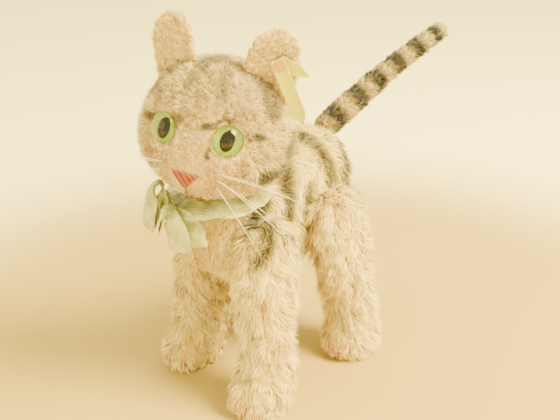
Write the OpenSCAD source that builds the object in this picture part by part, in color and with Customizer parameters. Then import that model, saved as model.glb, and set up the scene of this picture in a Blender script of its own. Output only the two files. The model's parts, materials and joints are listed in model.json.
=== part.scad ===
// Plush kitten, standing: a stuffed toy with a turning head, four turning legs and a tail that bends at its seam.
// It faces -Y, its own left is +X, and it stands on the XY plane.

/* [Body] */
// Length of the torso from chest to rump, pile left out
body_length = 70; // [60:0.5:84]
// Width of the torso between the legs
body_width = 17.6; // [16:0.2:22]
// Drop of the belly below the shoulder and hip pins
belly_drop = 13; // [11:0.5:16]
// Rise of the top of the back above the pins
back_rise = 31.5; // [26:0.5:38]
// Wall of every sewn skin: backing cloth with the roots of the pile
skin_t = 1.6; // [1.2:0.1:2]

/* [Neck] */
// Height of the neck seam above the chest beneath it
neck_rise = 4.6; // [3.8:0.1:5.6]
// Distance of the neck's centre ahead of the shoulder pin
neck_ahead = 7.6; // [6:0.1:9]
// Sideways offset of the neck's centre towards the cat's right
neck_offset = 2.4; // [0:0.1:3]
// Diameter of the neck where it meets the head
neck_d = 20; // [18:0.5:22]

/* [Head] */
// Width of the head across the cheeks
head_width = 49.6; // [44:0.2:54]
// Depth of the head without its muzzle
head_depth = 46.6; // [42:0.2:50]
// Height of the head without its ears
head_height = 45.6; // [42:0.2:48]
// How far the muzzle stands out of the round head
muzzle_length = 5.6; // [4:0.1:7]
// Turn of the head towards the cat's left when at rest
head_turn = 23.2; // [0:0.1:30]
// Tilt of the head down to the cat's left
head_tilt = 6.8; // [0:0.1:8]

/* [Face] */
// Diameter of a glass eye
eye_d = 10.2; // [9:0.1:11]
// Height of the glass eye's front dome
eye_dome = 2.7; // [2:0.1:3.2]
// Half the angle between the two eyes, seen from above
eye_angle = 27.5; // [24:0.5:32]
// Angle of the eyes above the middle of the head
eye_rise = 7; // [2:0.5:10]
// Width of the nose stitching
nose_width = 8; // [6:0.1:9]
// Height of the nose stitching
nose_height = 5.4; // [4:0.1:6]
// Angle of the nose below the middle of the head
nose_drop = 22.5; // [20:0.5:26]
// Diameter of the stitching thread
thread_d = 0.9; // [0.6:0.1:1.2]

/* [Ears] */
// Height of an ear above its root in the head
ear_height = 18; // [14:0.5:21]
// Width of an ear at its root
ear_width = 16.6; // [13:0.2:19]
// Thickness of an ear
ear_thick = 3; // [2.4:0.1:4]
// Half the angle between the two ears, seen from the front
ear_angle = 41; // [36:0.5:46]
// Depth of an ear's cupped front
ear_cup = 2.6; // [1:0.1:3.5]

/* [Whiskers] */
// Number of bristles on each side of the muzzle
whisker_count = 5; // [3:1:6]
// Length of the longest bristle
whisker_length = 32; // [24:0.5:36]
// Diameter of a bristle
whisker_d = 0.4; // [0.3:0.1:0.6]

/* [Legs] */
// Height of the shoulder and hip pins above the floor
pin_height = 57; // [54:0.5:60]
// Distance from the shoulder pin back to the hip pin
pin_spacing = 39.5; // [38:0.5:46]
// Distance from the chest back to the shoulder pin
shoulder_setback = 12; // [11:0.5:14]
// Thickness of a leg beside the torso
leg_top_t = 12; // [11:0.2:14]
// Width of a leg at its middle
leg_width = 14.6; // [13:0.2:16]
// Width of a paw
paw_width = 19; // [17:0.2:20]
// Length of a paw
paw_length = 23; // [20:0.2:24]
// Height of a leg's round top above its pin
leg_crown = 11; // [10:0.2:12]
// Sideways distance between the middles of the two front paws
front_track = 42; // [40:0.5:50]
// Sideways distance between the middles of the two hind paws
hind_track = 42; // [40:0.5:50]
// How far the left front paw stands ahead of its pin
left_front_step = 7.5; // [0:0.5:9]
// How far the right front paw stands ahead of its pin
right_front_step = 1; // [-2:0.5:4]
// How far the left hind paw stands behind its pin
left_hind_step = 7; // [2:0.5:9]
// How far the right hind paw stands ahead of its pin
right_hind_step = 4.5; // [0:0.5:5]

/* [Tail] */
// Length of the tail from its seam to its tip
tail_length = 71; // [56:0.5:86]
// Diameter of the tail near its root
tail_root_d = 8.4; // [7:0.1:9.4]
// Diameter of the tail near its tip
tail_tip_d = 6; // [4:0.1:6.6]
// Rise of the tail above the floor's plane
tail_rise = 26; // [20:0.5:50]
// Lean of the tail towards the cat's left
tail_lean = 11; // [0:0.5:14]
// Upward bow in the middle of the tail
tail_bow = 1.8; // [0:0.1:3]
// Diameter of the wire in the tail
tail_wire_d = 1.2; // [0.8:0.1:1.6]

/* [Joints] */
// Diameter of a cotter pin
pin_d = 1.8; // [1.4:0.1:2.2]
// Diameter of the hardboard discs of a leg joint
leg_disc_d = 12; // [10:0.5:13]
// Diameter of the hardboard discs of the neck joint
neck_disc_d = 15; // [13:0.5:16]
// Thickness of a hardboard disc
disc_t = 1.2; // [1:0.1:1.4]
// Diameter of a steel washer
washer_d = 6; // [5:0.1:7]
// Thickness of a steel washer
washer_t = 0.5; // [0.4:0.1:0.6]

/* [Ribbon] */
// Width of the satin ribbon
ribbon_w = 10; // [8:0.5:11]
// Thickness of the satin ribbon
ribbon_t = 0.4; // [0.3:0.05:0.5]
// Length of the long ribbon end below the knot
bow_tail_length = 14; // [11:0.5:17]
// Length of the long bow loop
bow_loop_length = 16; // [12:0.5:20]

/* [Label] */
// Width of the cloth label in the left ear
label_w = 4.6; // [3.6:0.1:5.4]
// Length of the cloth label
label_length = 21; // [16:0.5:23]
// Diameter of the stud that holds the label
stud_d = 4; // [3:0.1:4.6]

/* [Fits] */
// Gap between two bodies of cloth that turn against each other
body_gap = 0.4; // [0.3:0.05:0.5]
// Radial play of a cotter pin in the disc that turns on it
pin_play = 0.06; // [0.02:0.01:0.09]
// Gap between two pieces of one body
seat_gap = 0.1; // [0.05:0.01:0.15]

/* [Hidden] */

// Colours
cream = "#efe2c4";
tan_pile = "#d9c6a0";
wood_wool = "#d8bf86";
hardboard = "#8a6440";
steel = "#9aa0a4";
glass_green = "#9bb52e";
black_glass = "#15140f";
coral = "#d9603f";
dark_thread = "#5a4636";
bristle = "#f4efe2";
satin = "#dfe3c6";
label_yellow = "#f0c419";
brass = "#b99545";
taupe = "#8f8070";

// Facets
round_fn = 48;
torso_sides = 24;
torso_rings = 20;
leg_sides = 18;
leg_rings = 13;
head_sides = 28;
head_rings = 17;
tail_sides = 14;
tail_rings = 12;
thread_sides = 6;
thread_rings = 6;

// Positions along the cat, from the middle of the torso
chest_y = -body_length / 2 + 5;
rump_y = chest_y + body_length;
shoulder_y = chest_y + shoulder_setback;
hip_y = shoulder_y + pin_spacing;
side_x = body_width / 2;
leg_face_x = side_x + body_gap;
leg_cut = 0.25 * (leg_top_t / 2 - skin_t) - seat_gap; // how much of a leg's round side its flat face takes off
leg_top_x = leg_face_x + leg_top_t / 2 - leg_cut;
legs = [
    // side, pin's y, paw's x, paw's y, 0 for a front leg and 1 for a hind leg
    [1, shoulder_y, front_track / 2, shoulder_y - left_front_step, 0],
    [-1, shoulder_y, front_track / 2, shoulder_y - right_front_step, 0],
    [1, hip_y, hind_track / 2, hip_y + left_hind_step, 1],
    [-1, hip_y, hind_track / 2, hip_y - right_hind_step, 1]
];

// ---------------------------------------------------------------- helpers

// Interval of the station table that holds x
function span(rows, x, i = 0) = i >= len(rows) - 2 || x <= rows[i + 1][0] ? i : span(rows, x, i + 1);

function slope(rows, c, i) =
    let (a = rows[max(i - 1, 0)], b = rows[min(i + 1, len(rows) - 1)]) (b[c] - a[c]) / (b[0] - a[0]);

// Column c of a station table at x, on a smooth curve through the stations
function smooth(rows, c, x) =
    let (i = span(rows, x), a = rows[i], b = rows[i + 1], w = b[0] - a[0], t = (x - a[0]) / w, s = 1 - t)
    a[c] * (1 + 2 * t) * s * s + b[c] * (3 - 2 * t) * t * t
    + w * t * s * (slope(rows, c, i) * s - slope(rows, c, i + 1) * t);

function signed_power(v, p) = sign(v) * pow(abs(v), p);

// Point number j of n on a unit superellipse with the given squareness (1 is an ellipse)
function oval(j, n, squareness) =
    let (a = 360 * j / n) [signed_power(cos(a), 1 / squareness), signed_power(sin(a), 1 / squareness)];

function unit(v) = v / norm(v);

// A closed solid through a row of rings that have the same number of points
module loft(rings) {
    n = len(rings[0]);
    last = (len(rings) - 1) * n;
    walls = [
        for (i = [0 : len(rings) - 2]) for (j = [0 : n - 1])
            let (a = i * n + j, b = i * n + (j + 1) % n)
            each [[a, a + n, b + n], [a, b + n, b]]
    ];
    polyhedron(
        [for (ring = rings) each ring],
        concat([[for (j = [0 : n - 1]) j]], walls, [[for (j = [n - 1 : -1 : 0]) last + j]])
    );
}

// Frame vectors across a path at point i
function path_tangent(path, i) = unit(path[min(i + 1, len(path) - 1)] - path[max(i - 1, 0)]);

function path_ring(path, i, r, n) =
    let (
        t = path_tangent(path, i),
        side = unit(cross(t, abs(t.z) > 0.9 ? [1, 0, 0] : [0, 0, 1])),
        up = cross(side, t)
    )
    [for (j = [0 : n - 1]) path[i] + r * (cos(360 * j / n) * side - sin(360 * j / n) * up)];

// A round thread, wire or tail of changing radius along a path
module tube(path, radii, n) {
    loft([for (i = [0 : len(path) - 1]) path_ring(path, i, radii[i], n)]);
}

// A flat ribbon along a path, as wide as w in the direction across
module strip(path, across, w, t) {
    side = unit(across) * w / 2;
    loft([
        for (i = [0 : len(path) - 1])
            let (up = unit(cross(path_tangent(path, i), side)) * t / 2)
            [path[i] - side - up, path[i] + side - up, path[i] + side + up, path[i] - side + up]
    ]);
}

// A cylinder along X between two places
module x_cylinder(x0, x1, r) {
    translate([min(x0, x1), 0, 0])
        rotate([0, 90, 0])
            cylinder(h = abs(x1 - x0), r = r, $fn = round_fn);
}

module z_cylinder(z0, z1, r) {
    translate([0, 0, z0])
        cylinder(h = z1 - z0, r = r, $fn = round_fn);
}

// ---------------------------------------------------------------- torso

// Stations along the torso: place from 0 at the chest to 1 at the rump, then the lower and upper outline as
// shares of the height from belly to back, and the width as a share of the full width
torso_stations = [
    [0, 0.42, 0.56, 0.3],
    [2.1 / body_length, 0.22, 0.66, 0.8],
    [4.9 / body_length, 0.08, 0.69, 1.06],
    [8.4 / body_length, 0.02, 0.69, 1.16],
    [0.25, 0, 0.7, 1.16],
    [0.38, 0, 0.735, 1.16],
    [0.5, 0, 0.85, 1.16],
    [0.65, 0, 0.97, 1.16],
    [0.76, 0.02, 1, 1.16],
    [0.86, 0.1, 0.92, 1.12],
    [0.95, 0.24, 0.74, 0.8],
    [1, 0.4, 0.56, 0.3]
];
torso_squareness = 1.6;
belly_z = pin_height - belly_drop;
torso_depth = belly_drop + back_rise;

function torso_low(s) = belly_z + torso_depth * smooth(torso_stations, 1, s);
function torso_top(s) = belly_z + torso_depth * smooth(torso_stations, 2, s);

// Place and direction of the neck, and the middle of the head above it
head_clear = 0.91;
head_drop = head_height / 2 * head_clear;
head_rim_r = head_width / 2 * sqrt(1 - head_clear * head_clear);
neck_centre = [
    -neck_offset,
    shoulder_y - neck_ahead,
    torso_top((shoulder_setback - neck_ahead) / body_length) + neck_rise
];
neck_axis = turn_point([0, 0, 1]);
head_centre = neck_centre + (head_drop + body_gap) * neck_axis;

function torso_ring(s, inset) =
    let (
        low = torso_low(s) + inset,
        high = torso_top(s) - inset,
        half = max(side_x * smooth(torso_stations, 3, s) - inset, 0.4),
        y = chest_y + inset + s * (body_length - 2 * inset)
    )
    [
        for (j = [0 : torso_sides - 1])
            let (p = oval(j, torso_sides, torso_squareness))
            [-half * p.x, y, (low + high) / 2 + (high - low) / 2 * p.y]
    ];

module neck_frame() {
    translate(neck_centre)
        rotate([0, 0, head_turn])
            rotate([0, head_tilt, 0])
                children();
}

neck_stub = 12;

module torso_form(inset) {
    intersection() {
        loft([
            for (i = [0 : torso_rings])
                torso_ring((1 - cos(180 * i / torso_rings)) / 2, inset)
        ]);
        translate([inset - side_x, chest_y - 1, 0])
            cube([body_width - 2 * inset, body_length + 2, 2 * (belly_z + torso_depth)]);
    }
    neck_frame()
        z_cylinder(-neck_stub, -inset, neck_d / 2 - inset);
}

// Places along X of the pieces of a leg joint, from the torso's side
body_disc_x = side_x - skin_t - seat_gap;
body_washer_x = body_disc_x - disc_t - seat_gap / 2;
leg_disc_x = leg_face_x + skin_t + seat_gap;
leg_washer_x = leg_disc_x + disc_t + seat_gap / 2;
roll_r = pin_d / 2;
eye_r = pin_d * 0.95;
pin_inner_x = body_washer_x - washer_t - seat_gap / 2;
pin_outer_x = leg_washer_x + washer_t + seat_gap / 2;
pocket_r = 2 * roll_r + 0.4;
hole_r = pin_d / 2 + pin_play;

module at_each_leg_pin() {
    for (leg = legs)
        translate([0, leg[1], pin_height])
            mirror([leg[0] < 0 ? 1 : 0, 0, 0])
                children();
}

// A cotter pin along X: a round eye inside the torso and two rolled ends in the limb
module cotter_pin(inner, outer) {
    x_cylinder(inner - 0.2, outer + 0.2, pin_d / 2);
    difference() {
        translate([inner - eye_r, 0, 0])
            rotate([90, 0, 0])
                cylinder(h = pin_d * 0.8, r = eye_r, center = true, $fn = round_fn);
        translate([inner - eye_r, 0, 0])
            rotate([90, 0, 0])
                cylinder(h = pin_d * 2, r = eye_r / 2.4, center = true, $fn = round_fn);
    }
    for (roll = [-1, 1])
        translate([outer + roll_r, 0, roll * roll_r * 0.98])
            rotate([90, 0, 0])
                cylinder(h = pin_d * 0.8, r = roll_r, center = true, $fn = round_fn);
}

module disc(x0, d, t, bore_r) {
    difference() {
        x_cylinder(x0, x0 + t, d / 2);
        x_cylinder(x0 - 1, x0 + t + 1, bore_r);
    }
}

// Room for the pin, washer and disc of one leg joint inside the torso
module torso_joint_room() {
    x_cylinder(body_disc_x - disc_t - seat_gap, side_x, leg_disc_d / 2 + seat_gap);
    x_cylinder(pin_inner_x - seat_gap, body_disc_x, washer_d / 2 + seat_gap);
    x_cylinder(pin_inner_x - 2 * eye_r - seat_gap, body_disc_x, eye_r + 0.4);
}

// The neck joint along the neck's axis, above and below the seam
torso_neck_disc_z = -skin_t - seat_gap - disc_t;
torso_neck_washer_z = torso_neck_disc_z - seat_gap / 2 - washer_t;
head_neck_disc_z = body_gap + skin_t + seat_gap;
head_neck_washer_z = head_neck_disc_z + disc_t + seat_gap / 2;
neck_pin_low = torso_neck_washer_z - seat_gap / 2;
neck_pin_high = head_neck_washer_z + washer_t + seat_gap / 2;

module z_disc(z0, d, t, bore_r) {
    difference() {
        z_cylinder(z0, z0 + t, d / 2);
        z_cylinder(z0 - 1, z0 + t + 1, bore_r);
    }
}

module torso_skin() {
    color(cream) placed()
        difference() {
            torso_form(0);
            torso_form(skin_t);
            at_each_leg_pin()
                x_cylinder(side_x - 2 * skin_t, side_x + 1, hole_r);
            neck_frame()
                z_cylinder(-2 * skin_t, 1, hole_r);
        }
}

module torso_stuffing() {
    color(wood_wool) placed()
        difference() {
            torso_form(skin_t + seat_gap);
            at_each_leg_pin()
                torso_joint_room();
            neck_frame() {
                z_cylinder(torso_neck_disc_z - seat_gap, 1, neck_disc_d / 2 + seat_gap);
                z_cylinder(torso_neck_washer_z - seat_gap, 0, washer_d / 2 + seat_gap);
                z_cylinder(neck_pin_low - 2 * eye_r - seat_gap, 0, eye_r + 0.4);
            }
        }
}

module torso_leg_discs() {
    color(hardboard) placed()
        at_each_leg_pin()
            disc(body_disc_x - disc_t, leg_disc_d, disc_t, hole_r);
}

module torso_leg_washers() {
    color(steel) placed()
        at_each_leg_pin()
            disc(body_washer_x - washer_t, washer_d, washer_t, hole_r);
}

module leg_cotter_pins() {
    color(steel) placed()
        at_each_leg_pin()
            cotter_pin(pin_inner_x, pin_outer_x);
}

module torso_neck_disc() {
    color(hardboard) placed()
        neck_frame()
            z_disc(torso_neck_disc_z, neck_disc_d, disc_t, hole_r);
}

module torso_neck_washer() {
    color(steel) placed()
        neck_frame()
            z_disc(torso_neck_washer_z, washer_d, washer_t, hole_r);
}

module neck_cotter_pin() {
    color(steel) placed()
        neck_frame()
            rotate([0, -90, 0])
                cotter_pin(neck_pin_low, neck_pin_high);
}

// ---------------------------------------------------------------- legs

// Stations up a front leg and a hind leg: height as a share of the pin's height, then half the thickness in X
// and half the depth in Y, each as a share of its paw's half size, and the paw's lead ahead of the leg's middle
front_stations = [
    [0, 0.78, 0.8, 0.2],
    [0.03, 0.93, 0.93, 0.2],
    [0.09, 1, 1, 0.2],
    [0.18, 0.95, 0.9, 0.16],
    [0.28, 0.83, 0.74, 0.08],
    [0.42, 0.77, 0.68, 0.02],
    [0.62, 0.75, 0.74, 0],
    [0.85, 0.68, 0.92, 0],
    [1, 0.63, 0.98, 0]
];
hind_stations = [
    [0, 0.78, 0.8, 0.2],
    [0.03, 0.93, 0.93, 0.2],
    [0.09, 1, 1, 0.2],
    [0.18, 0.93, 0.86, 0.12],
    [0.28, 0.8, 0.72, 0],
    [0.42, 0.78, 0.76, -0.06],
    [0.62, 0.76, 0.95, -0.04],
    [0.85, 0.7, 1.08, 0],
    [1, 0.63, 1.1, 0]
];

function leg_table(leg) = leg[4] == 0 ? front_stations : hind_stations;

// Middle of a leg at height z: straight from the paw to the pin, then upright
function leg_middle(leg, z) =
    let (t = min(z / pin_height, 1))
    [leg[0] * (leg[2] + (leg_top_x - leg[2]) * t), leg[3] + (leg[1] - leg[3]) * t];

function leg_half(leg, z) =
    let (
        t = min(z / pin_height, 1),
        table = leg_table(leg),
        crown = z > pin_height ? sqrt(max(1 - pow((z - pin_height) / leg_crown, 2), 0.004)) : 1,
        taper = 1 + (leg_width / paw_width / 0.77 - 1) * sin(180 * t)
    )
    [
        (t < 1 ? smooth(table, 1, t) * taper : leg_top_t / paw_width) * paw_width / 2 * (0.45 + 0.55 * crown),
        smooth(table, 2, t) * paw_length / 2 * crown,
        smooth(table, 3, t) * paw_length / 2
    ];

function leg_ring(leg, z, inset) =
    let (middle = leg_middle(leg, z), half = leg_half(leg, z))
    [
        for (j = [0 : leg_sides - 1])
            let (p = oval(j, leg_sides, 1.15))
            [
                middle.x + max(half.x - inset, 0.3) * p.x,
                middle.y - half[2] + max(half.y - inset, 0.3) * p.y,
                z
            ]
    ];

// Heights of a leg's rings, close together at the paw and at the crown
function leg_height(i, inset) =
    let (t = i / leg_rings, top = pin_height + leg_crown - inset)
    inset + (top - inset) * (t < 0.4 ? 0.3 * pow(t / 0.4, 1.3) : 0.3 + 0.7 * sin(150 * (t - 0.4)) );

module leg_form(leg, inset) {
    intersection() {
        loft([for (i = [0 : leg_rings]) leg_ring(leg, leg_height(i, inset), inset)]);
        mirror([leg[0] < 0 ? 1 : 0, 0, 0])
            translate([leg_face_x + inset, leg[1] - 100, -1])
                cube([100, 200, 200]);
    }
}

module at_leg_pin(leg) {
    translate([0, leg[1], pin_height])
        mirror([leg[0] < 0 ? 1 : 0, 0, 0])
            children();
}

module leg_skin(leg) {
    color(cream) placed()
        difference() {
            leg_form(leg, 0);
            leg_form(leg, skin_t);
            at_leg_pin(leg)
                x_cylinder(leg_face_x - 1, leg_face_x + 2 * skin_t, hole_r);
        }
}

module leg_stuffing(leg) {
    color(wood_wool) placed()
        difference() {
            leg_form(leg, skin_t + seat_gap);
            at_leg_pin(leg) {
                x_cylinder(leg_face_x, leg_disc_x + disc_t + seat_gap, leg_disc_d / 2 + seat_gap);
                x_cylinder(leg_disc_x, leg_washer_x + washer_t + seat_gap, washer_d / 2 + seat_gap);
                x_cylinder(leg_disc_x, pin_outer_x + 2 * roll_r + body_gap, pocket_r);
            }
        }
}

module leg_disc(leg) {
    color(hardboard) placed()
        at_leg_pin(leg)
            disc(leg_disc_x, leg_disc_d, disc_t, hole_r);
}

module leg_washer(leg) {
    color(steel) placed()
        at_leg_pin(leg)
            disc(leg_washer_x, washer_d, washer_t, hole_r);
}

// Claw stitches: threads over the front of the paw, side by side
claw_count = 4;
claw_low = 1.6;
claw_high = 7.4;

// Place on the front of a paw at height z, in direction a from straight ahead
function paw_point(leg, z, a, grow) =
    let (
        middle = leg_middle(leg, z),
        half = leg_half(leg, z),
        p = [signed_power(sin(a), 1 / 1.15), signed_power(cos(a), 1 / 1.15)]
    )
    [middle.x + (half.x + grow) * p.x, middle.y - half[2] - (half.y + grow) * p.y, z];

module claws(leg) {
    color(coral) placed()
        for (k = [0 : claw_count - 1]) {
            a = 18 * (k - (claw_count - 1) / 2);
            path = [
                for (i = [0 : thread_rings])
                    paw_point(leg, claw_low + (claw_high - claw_low) * i / thread_rings, a, 0.8 * thread_d)
            ];
            tube(path, [for (i = [0 : thread_rings]) thread_d / 2], thread_sides);
        }
}

module left_front_leg_skin() { leg_skin(legs[0]); }
module left_front_leg_stuffing() { leg_stuffing(legs[0]); }
module left_front_leg_disc() { leg_disc(legs[0]); }
module left_front_leg_washer() { leg_washer(legs[0]); }
module left_front_claws() { claws(legs[0]); }
module right_front_leg_skin() { leg_skin(legs[1]); }
module right_front_leg_stuffing() { leg_stuffing(legs[1]); }
module right_front_leg_disc() { leg_disc(legs[1]); }
module right_front_leg_washer() { leg_washer(legs[1]); }
module right_front_claws() { claws(legs[1]); }
module left_hind_leg_skin() { leg_skin(legs[2]); }
module left_hind_leg_stuffing() { leg_stuffing(legs[2]); }
module left_hind_leg_disc() { leg_disc(legs[2]); }
module left_hind_leg_washer() { leg_washer(legs[2]); }
module left_hind_claws() { claws(legs[2]); }
module right_hind_leg_skin() { leg_skin(legs[3]); }
module right_hind_leg_stuffing() { leg_stuffing(legs[3]); }
module right_hind_leg_disc() { leg_disc(legs[3]); }
module right_hind_leg_washer() { leg_washer(legs[3]); }
module right_hind_claws() { claws(legs[3]); }

// ---------------------------------------------------------------- head

// A direction or offset in the head's frame, turned into the cat's frame
function turn_point(p) =
    let (
        x = p.x * cos(head_tilt) + p.z * sin(head_tilt),
        z = p.z * cos(head_tilt) - p.x * sin(head_tilt)
    )
    [x * cos(head_turn) - p.y * sin(head_turn), x * sin(head_turn) + p.y * cos(head_turn), z];

// Direction at an angle to the head's left of straight ahead, and an angle above the middle
function facing(aside, rise) = [sin(aside) * cos(rise), -cos(aside) * cos(rise), sin(rise)];

// A soft rise around a direction
function swell(d, aside, rise, width) =
    let (off = acos(max(min(d * facing(aside, rise), 1), -1)) / width) exp(-off * off);

// Distance from the head's centre to its skin in direction d
function head_radius(d) =
    let (
        a = head_width / 2,
        b = head_depth / 2,
        c = head_height / 2,
        base = 1 / sqrt(d.x * d.x / (a * a) + d.y * d.y / (b * b) + d.z * d.z / (c * c))
    )
    base + muzzle_length * swell(d, 0, -nose_drop - 3, 27);

function on_head(d, grow) = d * (head_radius(d) + grow);

module head_frame() {
    translate(head_centre)
        rotate([0, 0, head_turn])
            rotate([0, head_tilt, 0])
                children();
}

module head_form(inset) {
    reach = max(head_width, head_depth) * 2;
    intersection() {
        loft([
            for (i = [0 : head_rings])
                let (rise = 86 * sin(90 * (2 * i / head_rings - 1)))
                [
                    for (j = [0 : head_sides - 1])
                        on_head(facing(360 * j / head_sides, rise), -inset)
                ]
        ]);
        translate([-reach / 2, -reach / 2, inset - head_drop])
            cube([reach, reach, reach]);
    }
}

eye_back = 2.6;
shank_r = 0.4;
shank_length = 7;

module eye_frame(side) {
    d = facing(side * eye_angle, eye_rise);
    translate(d * (head_radius(d) + 0.2))
        rotate([0, 0, side * eye_angle])
            rotate([90 - eye_rise, 0, 0])
                children();
}

module head_skin() {
    color(tan_pile) placed() head_frame()
        difference() {
            head_form(0);
            head_form(skin_t);
            for (side = [-1, 1])
                eye_frame(side)
                    z_cylinder(-2 * skin_t - 1, 6, eye_d / 2 + seat_gap);
            z_cylinder(-head_drop - 1, -head_drop + 2 * skin_t, hole_r);
        }
}

module head_stuffing() {
    color(wood_wool) placed() head_frame()
        difference() {
            head_form(skin_t + seat_gap);
            for (side = [-1, 1])
                eye_frame(side) {
                    z_cylinder(-eye_back - seat_gap, 6, eye_d / 2 + seat_gap);
                    z_cylinder(-eye_back - shank_length - shank_r - seat_gap, 0, 3 * shank_r + seat_gap);
                }
            translate([0, 0, -head_drop - body_gap]) {
                z_cylinder(0, head_neck_disc_z + disc_t + seat_gap, neck_disc_d / 2 + seat_gap);
                z_cylinder(0, head_neck_washer_z + washer_t + seat_gap, washer_d / 2 + seat_gap);
                z_cylinder(0, neck_pin_high + 2 * roll_r + body_gap, pocket_r);
            }
        }
}

module head_neck_disc() {
    color(hardboard) placed()
        neck_frame()
            z_disc(head_neck_disc_z, neck_disc_d, disc_t, hole_r);
}

module head_neck_washer() {
    color(steel) placed()
        neck_frame()
            z_disc(head_neck_washer_z, washer_d, washer_t, hole_r);
}

// The glass eye: a clear dome over a cavity for the pupil, and an enamelled backing
backing_t = 0.5;
pupil_t = 0.6;
pupil_wide = 0.34;
pupil_high = 0.6;

module pupil_form(grow) {
    linear_extrude(height = pupil_t + grow)
        polygon([
            for (j = [0 : 27])
                let (a = 360 * j / 28)
                [
                    (eye_d / 2 * pupil_wide + grow) * cos(a),
                    (eye_d / 2 * pupil_high + grow) * sin(a)
                ]
        ]);
}

dome_r = (pow(eye_d / 2, 2) + eye_dome * eye_dome) / (2 * eye_dome);
dome_steps = 10;

module eye_glass(side) {
    color(glass_green) placed() head_frame() eye_frame(side)
        difference() {
            rotate_extrude($fn = round_fn)
                polygon(concat(
                    [[0, backing_t - eye_back], [eye_d / 2 - 0.6, backing_t - eye_back], [eye_d / 2, -1]],
                    [
                        for (i = [0 : dome_steps])
                            let (a = asin(eye_d / 2 / dome_r) * (1 - i / dome_steps))
                            [dome_r * sin(a), eye_dome - dome_r + dome_r * cos(a)]
                    ]
                ));
            translate([0, 0, backing_t - eye_back - 0.01])
                pupil_form(0.05);
        }
}

module left_eye_glass() { eye_glass(1); }
module right_eye_glass() { eye_glass(-1); }

module eye_pupils() {
    color(black_glass) placed() head_frame()
        for (side = [-1, 1])
            eye_frame(side)
                translate([0, 0, backing_t - eye_back])
                    pupil_form(0);
}

module eye_backings() {
    color(glass_green) placed() head_frame()
        for (side = [-1, 1])
            eye_frame(side)
                z_cylinder(-eye_back, backing_t - eye_back - 0.02, eye_d / 2 - 0.6);
}

// A wire loop in the glass's back, by which the eye is tied in
module eye_shanks() {
    color(steel) placed() head_frame()
        for (side = [-1, 1])
            eye_frame(side) {
                z_cylinder(-eye_back - shank_length + 3 * shank_r, -eye_back - 0.02, shank_r);
                translate([0, 0, -eye_back - shank_length + 2 * shank_r])
                    rotate([90, 0, 0])
                        rotate_extrude($fn = round_fn)
                            translate([1.5 * shank_r, 0])
                                circle(r = shank_r, $fn = 16);
            }
}

// Ears: cupped, two layers of cloth thick, sewn to the top of the head
ear_stations = [
    [0, 0.92, 1],
    [0.25, 1, 1],
    [0.55, 1, 0.9],
    [0.8, 0.92, 0.8],
    [0.94, 0.7, 0.7],
    [1, 0.35, 0.5]
];
ear_sides = 20;
ear_rings = 8;
ear_sink = 5;

function ear_ring(t, grow) =
    let (half = ear_width / 2 * smooth(ear_stations, 1, t) + grow, thick = ear_thick / 2 * smooth(ear_stations, 2, t))
    [
        for (j = [0 : ear_sides - 1])
            let (p = oval(j, ear_sides, 1.2), x = half * p.x)
            [x, -ear_cup * pow(x / ear_width * 2, 2) + thick * p.y, -ear_sink + (ear_height + ear_sink) * t]
    ];

module ear_frame(side) {
    root = on_head(unit([side * sin(ear_angle), -0.02, cos(ear_angle)]), -1);
    translate(root)
        rotate([0, 0, side * 16])
            rotate([6, side * 10, 0])
                children();
}

module ear(side) {
    color(cream) placed() head_frame()
        difference() {
            ear_frame(side)
                loft([for (i = [0 : ear_rings]) ear_ring(i / ear_rings, 0)]);
            head_form(-seat_gap);
            if (side > 0)
                label_frame()
                    rotate([90, 0, 0])
                        z_cylinder(-2 * stud_reach, 1, stud_shank_r + seat_gap);
        }
}

module left_ear() { ear(1); }
module right_ear() { ear(-1); }

// The nose: a pad of satin stitches, a triangle that points down
module nose_stitching() {
    color(coral) placed() head_frame()
        difference() {
            rotate([nose_drop, 0, 0])
                translate([0, -head_radius(facing(0, -nose_drop)) - 1, 0])
                    rotate([90, 0, 0])
                        translate([0, 0, -3])
                            linear_extrude(height = 3)
                                polygon([
                                    [-nose_width / 2, nose_height / 2],
                                    [nose_width / 2, nose_height / 2],
                                    [nose_width * 0.42, nose_height * 0.2],
                                    [nose_width * 0.1, -nose_height / 2],
                                    [-nose_width * 0.1, -nose_height / 2],
                                    [-nose_width * 0.42, nose_height * 0.2]
                                ]);
            head_form(-seat_gap);
        }
}

mouth_drop = 9;
mouth_spread = 11;

// A stitch that lies on the head between two directions, given as [aside, rise]
module head_stitch(from, to) {
    tube(
        [
            for (i = [0 : thread_rings])
                let (a = from + (to - from) * i / thread_rings)
                on_head(facing(a.x, a.y), 0.75 * thread_d)
        ],
        [for (i = [0 : thread_rings]) thread_d / 2],
        thread_sides
    );
}

module mouth_stitching() {
    top = -nose_drop - 7.5;
    fork = top - mouth_drop;
    color(dark_thread) placed() head_frame() {
        head_stitch([0, top], [0, fork + 1.5]);
        for (side = [-1, 1])
            head_stitch([side * 1.6, fork], [side * mouth_spread, fork - 3]);
    }
}

// Whiskers: bristles fanned out of each side of the muzzle, drooping a little
function whisker_path(side, k) =
    let (
        share = whisker_count > 1 ? k / (whisker_count - 1) : 0.5,
        root = on_head(facing(side * (20 + 5 * (k % 2)), -nose_drop + 3 - 8 * share), 0.3),
        reach = whisker_length * (1 - 0.24 * abs(share - 0.4)),
        out = unit([side * cos(14 * share), -0.05 - 0.3 * share, 0.2 - 0.42 * share])
    )
    [
        for (i = [0 : thread_rings])
            let (t = i / thread_rings)
            root + out * reach * t + [0, 4 * t * t, -5 * t * t]
    ];

module whiskers(side) {
    color(bristle) placed() head_frame()
        for (k = [0 : whisker_count - 1])
            tube(
                whisker_path(side, k),
                [for (i = [0 : thread_rings]) whisker_d / 2 * (1 - 0.5 * i / thread_rings)],
                5
            );
}

module left_whiskers() { whiskers(1); }
module right_whiskers() { whiskers(-1); }

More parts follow.
